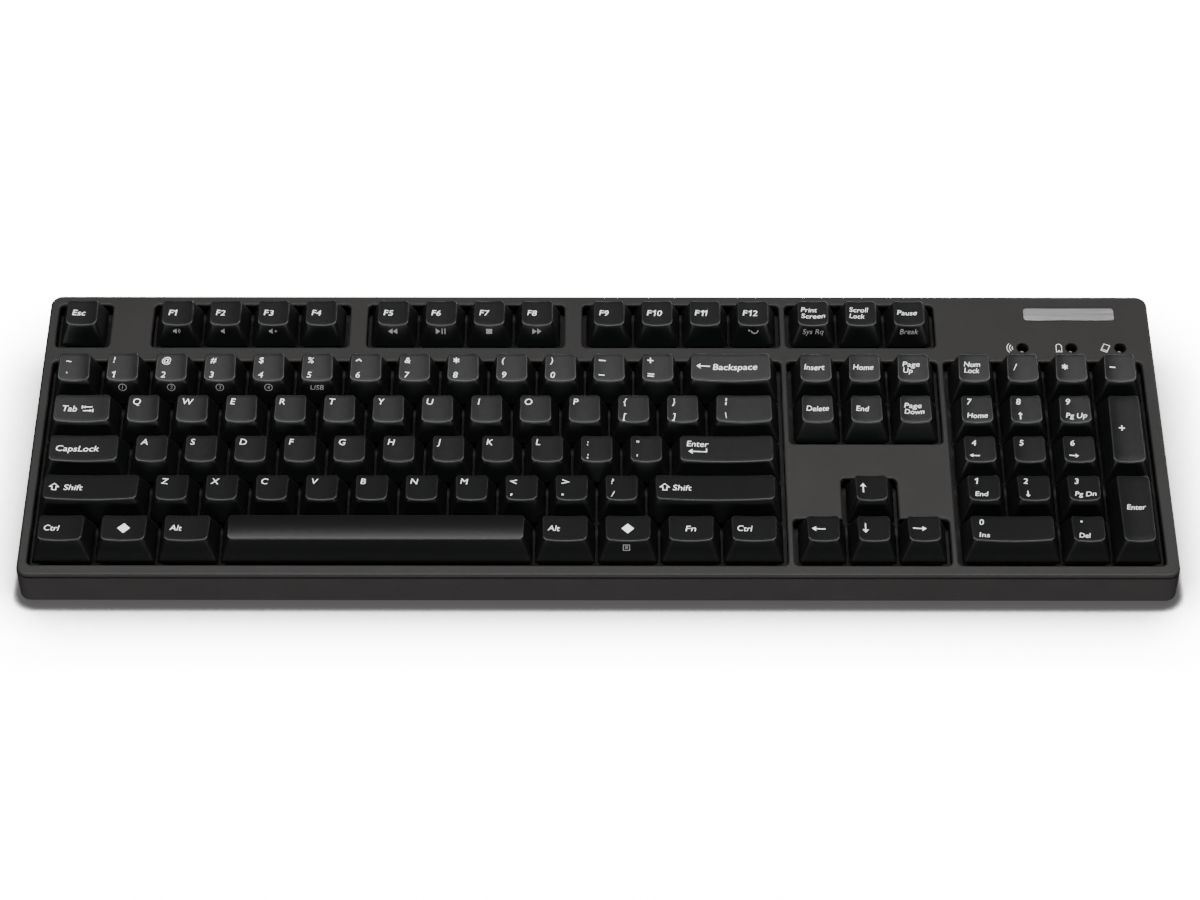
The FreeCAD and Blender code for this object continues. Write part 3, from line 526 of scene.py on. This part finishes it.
def arrow(length, head=1.7, spread=1.2):
    """Arrow pointing left, from zero to its length: a thin shaft and a filled head."""
    return join(ribbon([(head * 0.8, 0), (length, 0)], THIN),
                polygon((0, 0), (head, -spread), (head * 0.8, 0), (head, spread)))


def strokes(*paths):
    """Thin lines along paths of (x, y) points."""
    return join(*[ribbon(path, THIN) for path in paths])


def star(radius):
    """Asterisk of three strokes."""
    paths = []
    for angle in (30, 90, 150):
        x = radius * math.cos(math.radians(angle))
        y = radius * math.sin(math.radians(angle))
        paths.append([(radius - x, -y), (radius + x, y)])
    return strokes(*paths)


def turned(shape, degrees):
    """The shape turned about its origin."""
    vertices, faces = shape
    spin = Matrix.Rotation(math.radians(degrees), 3, "Z")
    return [spin @ v for v in vertices], faces


def laid(shape, place):
    """The shape cut into narrow strips and mapped onto a surface."""
    vertices, faces = shape
    work = bmesh.new()
    made = [work.verts.new(v) for v in vertices]
    for face in faces:
        if len(set(face)) > 2:
            try:
                work.faces.new([made[i] for i in face])
            except ValueError:
                pass
    low = min(v.x for v in vertices)
    high = max(v.x for v in vertices)
    cut = low + STRIP
    while cut < high:
        bmesh.ops.bisect_plane(work, geom=work.verts[:] + work.edges[:] + work.faces[:],
                               plane_co=(cut, 0, 0), plane_no=(1, 0, 0), dist=1e-5)
        cut += STRIP
    work.verts.index_update()
    points = [place(v.co.x, v.co.y) for v in work.verts]
    result = [tuple(v.index for v in face.verts) for face in work.faces]
    work.free()
    return points, result


# ---- legends -------------------------------------------------------------------------------------
def words(text, left, rear, height, width=None):
    """Text whose left edge and capital tops are at distances from the top's left and rear rims."""
    points, faces = text_shape(text, height, width)
    return [Vector((p.x + left, p.y - rear - height, 0)) for p in points], faces


def at(shape, left, rear):
    """The shape with its origin at distances from the top's left and rear rims."""
    return moved(shape, left, -rear)


def shift_icon():
    """Outlined arrow pointing to the rear."""
    return ribbon([(1.75, 0), (3.5, -1.6), (2.5, -1.6), (2.5, -3.1), (1.0, -3.1), (1.0, -1.6),
                   (0, -1.6)], 0.36, closed=True)


def tab_icon():
    """Two arrows against stops, one each way."""
    upper = join(moved(arrow(3.6, 1.0, 0.65), 0.4, 0), strokes([(0.1, 0.7), (0.1, -0.7)]))
    lower = join(moved(turned(arrow(3.6, 1.0, 0.65), 180), 4.0, -1.7),
                 strokes([(4.3, -1.0), (4.3, -2.4)]))
    return join(upper, lower)


def enter_icon():
    """Arrow to the left with a short upright at its tail."""
    return join(arrow(7.0), strokes([(7.0, -0.21), (7.0, 1.6)]))


def diamond_icon(size):
    """Plain solid diamond, a common neutral mark for a system key."""
    half = size / 2
    return polygon((0, -half), (half, -size), (size, -half), (half, 0))


drawn_signs = {
    "+": strokes([(0, 0), (2.4, 0)], [(1.2, -1.2), (1.2, 1.2)]),
    "=": strokes([(0.1, 0.5), (2.6, 0.5)], [(0, -0.5), (2.5, -0.5)]),
    "-": strokes([(0, 0), (2.2, 0)]),
    "_": strokes([(0, 0), (2.7, 0)]),
    "*": star(1.25),
    "<": strokes([(2.6, 0.95), (0.2, 0), (2.4, -0.95)]),
    ">": strokes([(0.2, 0.95), (2.6, 0), (0, -0.95)]),
    "^": strokes([(0, -0.45), (1.2, 0.45), (2.1, -0.45)]),
    "|": strokes([(1.0, 1.6), (0.9, 0.3)], [(0.85, -0.3), (0.75, -1.6)]),
    ".": polygon((0, -0.35), (0.7, -0.35), (0.8, 0.35), (0.1, 0.35)),
    ",": polygon((0.1, -0.8), (0.45, -0.8), (1.1, 0.4), (0.35, 0.4)),
}


def numeral_one(height):
    """Plain slanted one with a short flag, centred on its middle height."""
    half = height / 2
    lean = height * SLANT
    return ribbon([(0, half * 0.5), (0.62 + lean, half), (0.62, -half)], 0.46)


def sign(text, left, middle, height):
    """One sign, its middle at a distance from the top's rear rim."""
    if text in drawn_signs:
        return moved(drawn_signs[text], left, -middle)
    if text == "1":
        return moved(numeral_one(height), left, -middle)
    return words(text, left, middle - height / 2, height)


def pair(upper, lower, left=2.0, upper_middle=2.9, lower_middle=9.55):
    """Shifted sign above, plain sign below."""
    return [sign(upper, left, upper_middle, SHIFTED), sign(lower, left, lower_middle, WORD)]


def two_lines(first, second, left, width_first, width_second, rear=3.4, step=2.8):
    """Two short words, one above the other."""
    return [words(first, left, rear, STACKED_WORD, width_first),
            words(second, left, rear + step, STACKED_WORD, width_second)]


legends = {}
for index in range(2, 10):
    legends["F%d" % index] = [words("F%d" % index, 2.1, 4.4, WORD, 3.5)]
for name in ("F1", "F10", "F11", "F12"):
    left = 2.3 if name == "F1" else 2.0
    legends[name] = [words("F", left, 4.4, WORD, 1.6), sign("1", 4.4, 5.7, WORD)]
legends["F10"].append(words("0", 5.9, 4.4, WORD, 1.9))
legends["F11"].append(sign("1", 5.8, 5.7, WORD))
legends["F12"].append(words("2", 5.9, 4.4, WORD, 1.8))
for letter in "QWERTYUIOPASDFGHJKLZXCVBNM":
    legends[letter] = [words(letter, 2.6 if letter == "I" else 1.6, 1.6, LETTER)]
for upper, lower in ("!1", "@2", "#3", "$4", "%5", "^6", "&7", "*8", "(9", ")0", "_-", "+=",
                     "{[", "}]"):
    legends[lower] = pair(upper, lower)
legends["`"] = pair("~", "`", 2.5, 3.2)
legends["\\"] = pair("|", "\\", 3.0, 2.9, 9.2)
legends[";"] = pair(":", ";", 2.2, 3.1, 9.2)
legends["'"] = pair("\"", "'", 2.0, 3.6, 10.2)
legends[","] = pair("<", ",", 1.6, 3.0, 9.4)
legends["."] = pair(">", ".", 2.2, 3.0, 9.4)
legends["/"] = pair("?", "/", 2.0, 2.9, 9.1)
legends["Esc"] = [words("Esc", 2.1, 4.4, WORD, 5.0)]
legends["PrtSc"] = two_lines("Print", "Screen", 1.4, 6.2, 9.3, 3.0, 3.1)
legends["ScrLk"] = two_lines("Scroll", "Lock", 1.5, 7.3, 5.9, 3.0, 3.1)
legends["Pause"] = [words("Pause", 1.5, 4.4, SMALLER_WORD, 7.7)]
legends["Backspace"] = [at(arrow(5.4), 2.1, 5.6), words("Backspace", 8.6, 4.5, WORD, 17.2)]
legends["Tab"] = [words("Tab", 2.9, 4.9, WORD, 5.7), at(tab_icon(), 10.7, 5.4)]
legends["Caps"] = [words("CapsLock", 2.3, 4.8, WORD, 16.6)]
legends["Enter"] = [words("Enter", 2.6, 2.5, WORD, 8.2), at(enter_icon(), 3.2, 7.4)]
legends["LShift"] = [at(shift_icon(), 2.2, 4.3), words("Shift", 7.5, 4.7, WORD, 7.1)]
legends["RShift"] = [at(shift_icon(), 1.7, 4.3), words("Shift", 6.4, 4.7, WORD, 7.1)]
for name in ("LCtrl", "RCtrl"):
    legends[name] = [words("Ctrl", 1.9, 4.6, WORD, 5.5)]
for name in ("LAlt", "RAlt"):
    legends[name] = [words("Alt", 1.9, 4.6, WORD, 4.4)]
for name in ("LMeta", "RMeta"):
    legends[name] = [at(diamond_icon(4.8), 5.9, 3.5)]
legends["Fn"] = [words("Fn", 6.3, 4.6, WORD, 3.8)]
legends["Space"] = []
legends["Insert"] = [words("Insert", 1.5, 4.7, 2.4, 7.8)]
legends["Home"] = [words("Home", 1.6, 4.7, SMALL_WORD, 7.8)]
legends["PgUp"] = two_lines("Page", "Up", 2.0, 6.6, 3.7)
legends["Delete"] = [words("Delete", 1.7, 4.7, SMALL_WORD, 8.6)]
legends["End"] = [words("End", 2.0, 4.7, SMALL_WORD, 4.7)]
legends["PgDn"] = two_lines("Page", "Down", 1.7, 6.6, 7.5)
legends["Up"] = [at(turned(arrow(4.5), -90), 2.9, 3.6)]
legends["Left"] = [at(arrow(5.2), 1.6, 6.0)]
legends["Down"] = [at(turned(arrow(4.5), 90), 2.9, 8.0)]
legends["Right"] = [at(turned(arrow(5.2), 180), 6.9, 5.8)]
legends["NumLk"] = two_lines("Num", "Lock", 2.2, 6.2, 5.8)
legends["Divide"] = [words("/", 2.4, 4.3, 2.9)]
legends["Times"] = [sign("*", 2.4, 5.6, 0)]
legends["Minus"] = [sign("-", 2.1, 5.8, 0)]
legends["Plus"] = [sign("+", 3.2, 15.0, 0)]
legends["Enter2"] = [words("Enter", 2.5, 13.6, SMALL_WORD, 7.0)]
# Number pad: digit, its left and rear distances, then the word below it, if any.
for digit, left, rear, word, word_left, word_rear, width in (
        ("7", 2.2, 1.4, "Home", 2.1, 7.9, 7.8), ("8", 2.3, 1.4, "", 0, 0, 0),
        ("9", 2.5, 1.4, "Pg Up", 2.3, 7.9, 8.0), ("4", 2.8, 1.7, "", 0, 0, 0),
        ("5", 2.2, 1.7, "", 0, 0, 0), ("6", 2.8, 1.7, "", 0, 0, 0),
        ("1", 2.9, 1.2, "End", 2.5, 7.6, 4.7), ("2", 2.2, 1.2, "", 0, 0, 0),
        ("3", 2.7, 1.2, "Pg Dn", 2.4, 7.6, 7.9), ("0", 3.0, 1.7, "Ins", 2.7, 8.0, 3.9)):
    legends["Num" + digit] = [sign(digit, left, rear + WORD / 2, WORD)]
    if word:
        legends["Num" + digit].append(words(word, word_left, word_rear, SMALLER_WORD, width))
legends["Num8"].append(at(turned(arrow(3.2, 1.2, 0.9), -90), 3.7, 7.5))
legends["Num2"].append(at(turned(arrow(3.0, 1.2, 0.9), 90), 3.6, 10.3))
legends["Num4"].append(at(arrow(3.7, 1.3, 0.9), 2.0, 9.0))
legends["Num6"].append(at(turned(arrow(3.7, 1.3, 0.9), 180), 5.8, 9.0))
legends["NumDot"] = [sign(".", 3.4, 2.4, 0), words("Del", 2.3, 8.0, SMALLER_WORD, 4.0)]


# Signs printed on the front faces, centred, heights from the middle of the face.
def speaker(waves, plus=False):
    """Loudspeaker with sound waves or a plus beside it."""
    body = polygon((-1.7, -0.5), (-1.1, -0.5), (-0.3, -1.2), (-0.3, 1.2), (-1.1, 0.5), (-1.7, 0.5))
    shapes = [body]
    for index in range(waves):
        shapes.append(ribbon(arc(-0.2, 0, 0.7 + 0.6 * index, -50, 50, 8), FINE))
    if plus:
        shapes.append(ribbon([(0.4, 0), (1.6, 0)], 0.3))
        shapes.append(ribbon([(1.0, -0.6), (1.0, 0.6)], 0.3))
    return join(*shapes)


def triangle(x, way):
    """Filled triangle pointing right for a positive way, else left."""
    if way > 0:
        return polygon((x, -1.0), (x + 1.4, 0), (x, 1.0))
    return polygon((x + 1.4, -1.0), (x + 1.4, 1.0), (x, 0))


def centred_words(text, height, width=None):
    """Text about its own middle."""
    points, faces = text_shape(text, height, width)
    middle = (min(p.x for p in points) + max(p.x for p in points)) / 2
    return [Vector((p.x - middle, p.y - height / 2, 0)) for p in points], faces


def ringed(digit):
    """Digit in a circle."""
    return join(ribbon(ring(1.5), FINE, closed=True), centred_words(digit, 1.6))


def moon_and_star():
    """Crescent with a small square star."""
    moon = ribbon(arc(0.6, 0.5, 1.3, -175, 5, 12), 0.5)
    return join(moon, polygon((-1.9, 0.1), (-1.2, 0.1), (-1.2, 0.8), (-1.9, 0.8)))


def menu_icon():
    """Framed list of three lines."""
    frame_line = ribbon([(-1.2, -1.3), (1.2, -1.3), (1.2, 1.3), (-1.2, 1.3)], FINE, closed=True)
    rows = [ribbon([(-0.6, y), (0.6, y)], 0.25) for y in (-0.5, 0.1, 0.7)]
    return moved(join(frame_line, *rows), -0.6, 0)


def wide(*shapes):
    """Shapes joined and enlarged by a quarter."""
    return moved(join(*shapes), 0, 0, 1.25)


front_signs = {
    "F1": speaker(2), "F2": speaker(0), "F3": speaker(0, True),
    "F5": wide(triangle(-1.6, -1), triangle(-0.1, -1)),
    "F6": wide(triangle(-1.7, 1), *[ribbon([(x, -1), (x, 1)], 0.35) for x in (0.3, 1.2)]),
    "F7": polygon((-1.2, -1.1), (1.2, -1.1), (1.2, 1.1), (-1.2, 1.1)),
    "F8": wide(triangle(-1.5, 1), triangle(0.0, 1)),
    "F12": moon_and_star(),
    "PrtSc": centred_words("Sys Rq", SMALLER_WORD, 8.0),
    "Pause": centred_words("Break", SMALLER_WORD, 7.2),
    "1": ringed("1"), "2": ringed("2"), "3": ringed("3"), "4": ringed("4"),
    "5": centred_words("USB", 2.1, 5.2), "RMeta": menu_icon(),
}

# ---- keys by node: row, first column, widths, names ----------------------------------------------
ONES = (1.0,) * 7
key_rows = {
    "key_escape": [("function", 0.0, (1.0,), ["Esc"])],
    "keys_f1_to_f4": [("function", 2.0, ONES, ["F1", "F2", "F3", "F4"])],
    "keys_f5_to_f8": [("function", 6.5, ONES, ["F5", "F6", "F7", "F8"])],
    "keys_f9_to_f12": [("function", 11.0, ONES, ["F9", "F10", "F11", "F12"])],
    "keys_print_scroll_pause": [("function", 15.25, ONES, ["PrtSc", "ScrLk", "Pause"])],
    "keys_grave_to_6": [("number", 0.0, ONES, list("`123456"))],
    "keys_7_to_equals": [("number", 7.0, ONES, list("7890-="))],
    "key_backspace": [("number", 13.0, (2.0,), ["Backspace"])],
    "keys_numpad_top": [("number", 18.5, ONES, ["NumLk", "Divide", "Times", "Minus"])],
    "key_tab": [("upper", 0.0, (1.5,), ["Tab"])],
    "keys_q_to_t": [("upper", 1.5, ONES, list("QWERT"))],
    "keys_y_to_bracket": [("upper", 6.5, ONES, list("YUIOP[]"))],
    "key_backslash": [("upper", 13.5, (1.5,), ["\\"])],
    "keys_numpad_7_8_9": [("upper", 18.5, ONES, ["Num7", "Num8", "Num9"])],
    "key_caps_lock": [("home", 0.0, (1.75,), ["Caps"])],
    "keys_a_to_g": [("home", 1.75, ONES, list("ASDFG"))],
    "keys_h_to_quote": [("home", 6.75, ONES, list("HJKL;'"))],
    "key_enter": [("home", 12.75, (2.25,), ["Enter"])],
    "keys_numpad_4_5_6": [("home", 18.5, ONES, ["Num4", "Num5", "Num6"])],
    "key_left_shift": [("lower", 0.0, (2.25,), ["LShift"])],
    "keys_z_to_b": [("lower", 2.25, ONES, list("ZXCVB"))],
    "keys_n_to_slash": [("lower", 7.25, ONES, list("NM,./"))],
    "key_right_shift": [("lower", 12.25, (2.75,), ["RShift"])],
    "key_arrow_up": [("lower", 16.25, ONES, ["Up"])],
    "key_left_ctrl": [("bottom", 0.0, (1.25,), ["LCtrl"])],
    "key_left_meta": [("bottom", 1.25, (1.25,), ["LMeta"])],
    "key_left_alt": [("bottom", 2.5, (1.25,), ["LAlt"])],
    "key_space_bar": [("bottom", 3.75, (6.25,), ["Space"])],
    "key_right_alt": [("bottom", 10.0, (1.25,), ["RAlt"])],
    "key_right_meta": [("bottom", 11.25, (1.25,), ["RMeta"])],
    "key_fn": [("bottom", 12.5, (1.25,), ["Fn"])],
    "key_right_ctrl": [("bottom", 13.75, (1.25,), ["RCtrl"])],
    "key_arrow_left": [("bottom", 15.25, ONES, ["Left"])],
    "key_arrow_down": [("bottom", 16.25, ONES, ["Down"])],
    "key_arrow_right": [("bottom", 17.25, ONES, ["Right"])],
    "key_numpad_zero": [("bottom", 18.5, (2.0,), ["Num0"])],
    "keys_navigation": [("number", 15.25, ONES, ["Insert", "Home", "PgUp"]),
                        ("upper", 15.25, ONES, ["Delete", "End", "PgDn"])],
    "keys_numpad_1_2_3_dot": [("lower", 18.5, ONES, ["Num1", "Num2", "Num3"]),
                              ("bottom", 20.5, ONES, ["NumDot"])],
}
# The two keys that span two rows: near row, far row, name.
tall_keys = {"key_numpad_plus": ("home", "upper", "Plus"),
             "key_numpad_enter": ("bottom", "lower", "Enter2")}
TALL_COLUMN = 21.5
SMOOTH_ANGLE = 40

shell_cache = {}


def add_key(caps, marks, name, start, front_units, width_units, depth_units, profile):
    """Adds one key's cap, slider and legends to its node's piles."""
    kind = (width_units, depth_units, profile)
    if kind not in shell_cache:
        cap = Cap(width_units, depth_units, profile)
        shell_cache[kind] = (cap, cap_shell(cap))
    cap, (vertices, faces, kinds) = shell_cache[kind]
    x0 = LEFT + start * PITCH + cap.width / 2
    y0 = front_units * PITCH
    caps.add([deck(x0 + v.x, y0 + v.y, v.z) for v in vertices], faces, kinds)
    stems = [(0.0, 0.0, *SLIDER)]
    stems += [(dx, dy, *STABILIZER_STEM) for dx, dy in stem_offsets(width_units, depth_units)]
    for dx, dy, width, depth, bottom in stems:
        for bounds in stem_boxes(dx, cap.depth / 2 + dy, width, depth, bottom):
            points, sides = box_faces(*bounds)
            caps.add([deck(x0 + p.x, y0 + p.y, p.z) for p in points], sides, 1)
    left = SIDE_INSET - cap.width / 2
    rear = cap.depth - cap.rear

    def on_top(u, v):
        x, y = left + u, rear + v
        return deck(x0 + x, y0 + y, cap.top(x, y) + LIFT)

    face = Vector((0, cap.front - CAP_GAP, cap.front_rim - CAP_BASE))
    up = face.normalized()
    outward = Vector((0, -up.z, up.y))
    middle = Vector((0, CAP_GAP, CAP_BASE)) + face * FRONT_SIGN_LEVEL

    def on_front(u, v):
        point = middle + up * v + outward * LIFT
        return deck(x0 + u, y0 + point.y, point.z)

    for shape in legends.get(name, []):
        marks.add(*laid(shape, on_top), 0)
    if name in front_signs:
        marks.add(*laid(front_signs[name], on_front), 1)


key_piles = {}
for node, rows in key_rows.items():
    caps, marks = Pile(), Pile()
    for row, start, widths, names in rows:
        for name, width_units in zip(names, widths):
            add_key(caps, marks, name, start, ROWS[row][0], width_units, 1.0, ROWS[row][1:])
            start += width_units
    key_piles[node] = (caps, marks)
for node, (near, far, name) in tall_keys.items():
    caps, marks = Pile(), Pile()
    profile = (ROWS[near][1], ROWS[far][2], ROWS[near][3], ROWS[far][4])
    add_key(caps, marks, name, TALL_COLUMN, ROWS[near][0], 1.0, 2.0, profile)
    key_piles[node] = (caps, marks)
for node, (caps, marks) in key_piles.items():
    piece = caps.make("cap_" + node, [key_plastic, stem_plastic, key_edge], SMOOTH_ANGLE)
    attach(piece, node)
    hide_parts(node)
    if marks.faces:
        legend = marks.make("legend_" + node, [legend_white, legend_grey])
        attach(legend, node)

# ---- icons beside the indicator lamps -------------------------------------------------------------
signal = join(*[ribbon(arc(-3.1, 0, radius, 135, 225, 10), ICON_STROKE)
                for radius in (1.1, 2.1, 3.1)])
outline = [(-3.9, -1.9)] + arc(-4.95, 0.9, 1.05, 0, 180, 8) + [(-6.0, -1.9)]
sheet = join(ribbon(outline, ICON_STROKE, True), polygon((-5.4, -1.5), (-4.5, -1.5), (-4.95, -0.9)))
card = join(ribbon([(-1.2, -1.75), (1.2, -1.75), (1.2, 1.75), (-1.2, 1.75)], ICON_STROKE, True),
            ribbon([(-1.2, -1.0), (1.2, -1.0)], 0.18))
card = moved(turned(card, -25), -5.9, 0)
shade_ring = ribbon(ring(2.35), 0.32, True)
icons = Pile()
for x, shape in zip(LAMPS, (signal, sheet, card)):
    for mark, kind in ((shape, 0), (shade_ring, 1)):
        icons.add(*laid(mark, lambda u, v, x=x: deck(x + u, LAMP_ROW + v, LIFT)), kind)
icon_piece = icons.make("indicator_icons", [legend_white, black_plastic])
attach(icon_piece, "case")


# ---- floor, light and camera ---------------------------------------------------------------------
def glowing(name, glow):
    """Matt white stage surface that also glows, so that it stays pale."""
    white = (0.86, 0.86, 0.86)
    material = surface(name, white, 0.9, variation=0.004, grain=40.0, bump=0.0, specular=0.1)
    shader = material.node_tree.nodes["Principled BSDF"]
    shader.inputs["Emission Color"].default_value = (1, 1, 1, 1)
    shader.inputs["Emission Strength"].default_value = glow
    return material


def nearness(tree, distance, power, samples):
    """Mask of a painted shadow: one in the open, falling to zero within a distance of whatever
    stands on the surface.
    """
    nearby = tree.nodes.new("ShaderNodeAmbientOcclusion")
    nearby.samples = samples
    nearby.inputs["Distance"].default_value = distance
    falloff = tree.nodes.new("ShaderNodeMath")
    falloff.operation = "POWER"
    falloff.inputs[1].default_value = power
    tree.links.new(nearby.outputs["AO"], falloff.inputs[0])
    return falloff


def contact_shade(material):
    """Painted contact shadow: darkens the colour and glow where something stands close, a narrow
    band in a wide soft one.
    """
    tree = material.node_tree
    shader = tree.nodes["Principled BSDF"]
    both = tree.nodes.new("ShaderNodeMath")
    both.operation = "MULTIPLY"
    narrow_band = nearness(tree, 0.0048, 22.0, 24)
    wide_band = nearness(tree, 0.034, 5.0, 8)
    tree.links.new(narrow_band.outputs["Value"], both.inputs[0])
    tree.links.new(wide_band.outputs["Value"], both.inputs[1])
    depth = tree.nodes.new("ShaderNodeMapRange")
    depth.inputs["To Min"].default_value = 0.0075
    tree.links.new(both.outputs["Value"], depth.inputs["Value"])
    tree.links.new(depth.outputs["Result"], shader.inputs["Base Color"])
    tree.links.new(depth.outputs["Result"], shader.inputs["Emission Color"])
    return material


def keep_to_camera(piece):
    """Marks a stage piece that is seen but throws no light of its own on the object."""
    piece.visible_diffuse = False
    piece.visible_glossy = False
    piece.visible_transmission = False


bpy.ops.mesh.primitive_plane_add(size=14.0, location=(0, 0, 0))
floor = bpy.context.object
floor.name = "floor"
# The floor carries a painted contact shadow round the keyboard.
floor.data.materials.append(contact_shade(glowing("floor_white", FLOOR_GLOW)))
keep_to_camera(floor)
bpy.ops.mesh.primitive_uv_sphere_add(segments=48, ring_count=24, radius=6.0, location=(0, 0, 0))
dome = bpy.context.object
dome.name = "backdrop"
dome.data.materials.append(glowing("backdrop_white", FLOOR_GLOW + 1.0))
dome.visible_shadow = False
keep_to_camera(dome)

world = bpy.data.worlds.new("studio")
bpy.context.scene.world = world
world.use_nodes = True
world.node_tree.nodes["Background"].inputs["Color"].default_value = (1, 1, 1, 1)
world.node_tree.nodes["Background"].inputs["Strength"].default_value = WORLD


def softbox(name, place, size, power):
    """Rectangular soft light aimed at the middle of the floor."""
    lamp = bpy.data.lights.new(name, "AREA")
    lamp.shape = "RECTANGLE"
    lamp.size, lamp.size_y = size
    lamp.energy = power
    holder = bpy.data.objects.new(name, lamp)
    holder.location = place
    holder.rotation_euler = (-Vector(place)).to_track_quat("-Z", "Y").to_euler()
    bpy.context.scene.collection.objects.link(holder)


softbox("softbox_top", (0, 0.02, 1.5), (2.0, 0.9), TOP_POWER)
softbox("softbox_front", (0, -1.6, 0.13), (2.4, 0.2), FRONT_POWER)
softbox("softbox_rear", (0.9, 1.6, 0.13), (2.4, 0.2), REAR_POWER)

# Camera angles are measured from the sloping deck, then tilted with it.
tilt = Matrix.Rotation(SLOPE, 3, "X")
yaw, roll, elevation = 0.0026, -0.0012, math.radians(53.53)
sideways = Vector((math.cos(yaw), math.sin(yaw), 0))
ahead = Vector((-math.sin(yaw), math.cos(yaw), 0))
forward = ahead * math.cos(elevation) - Vector((0, 0, 1)) * math.sin(elevation)
upward = ahead * math.sin(elevation) + Vector((0, 0, 1)) * math.cos(elevation)
right = sideways * math.cos(roll) + upward * math.sin(roll)
upward = upward * math.cos(roll) - sideways * math.sin(roll)
right, upward, forward = tilt @ right, tilt @ upward, tilt @ forward
camera_data = bpy.data.cameras.new("camera")
camera_data.lens = LENS
camera_data.sensor_width = 36.0
camera = bpy.data.objects.new("camera", camera_data)
bpy.context.scene.collection.objects.link(camera)
place = deck(*CAMERA_AIM, 0.0) - forward * CAMERA_DISTANCE
camera.matrix_world = Matrix((
    (right.x, upward.x, -forward.x, place.x),
    (right.y, upward.y, -forward.y, place.y),
    (right.z, upward.z, -forward.z, place.z),
    (0, 0, 0, 1)))
bpy.context.scene.camera = camera
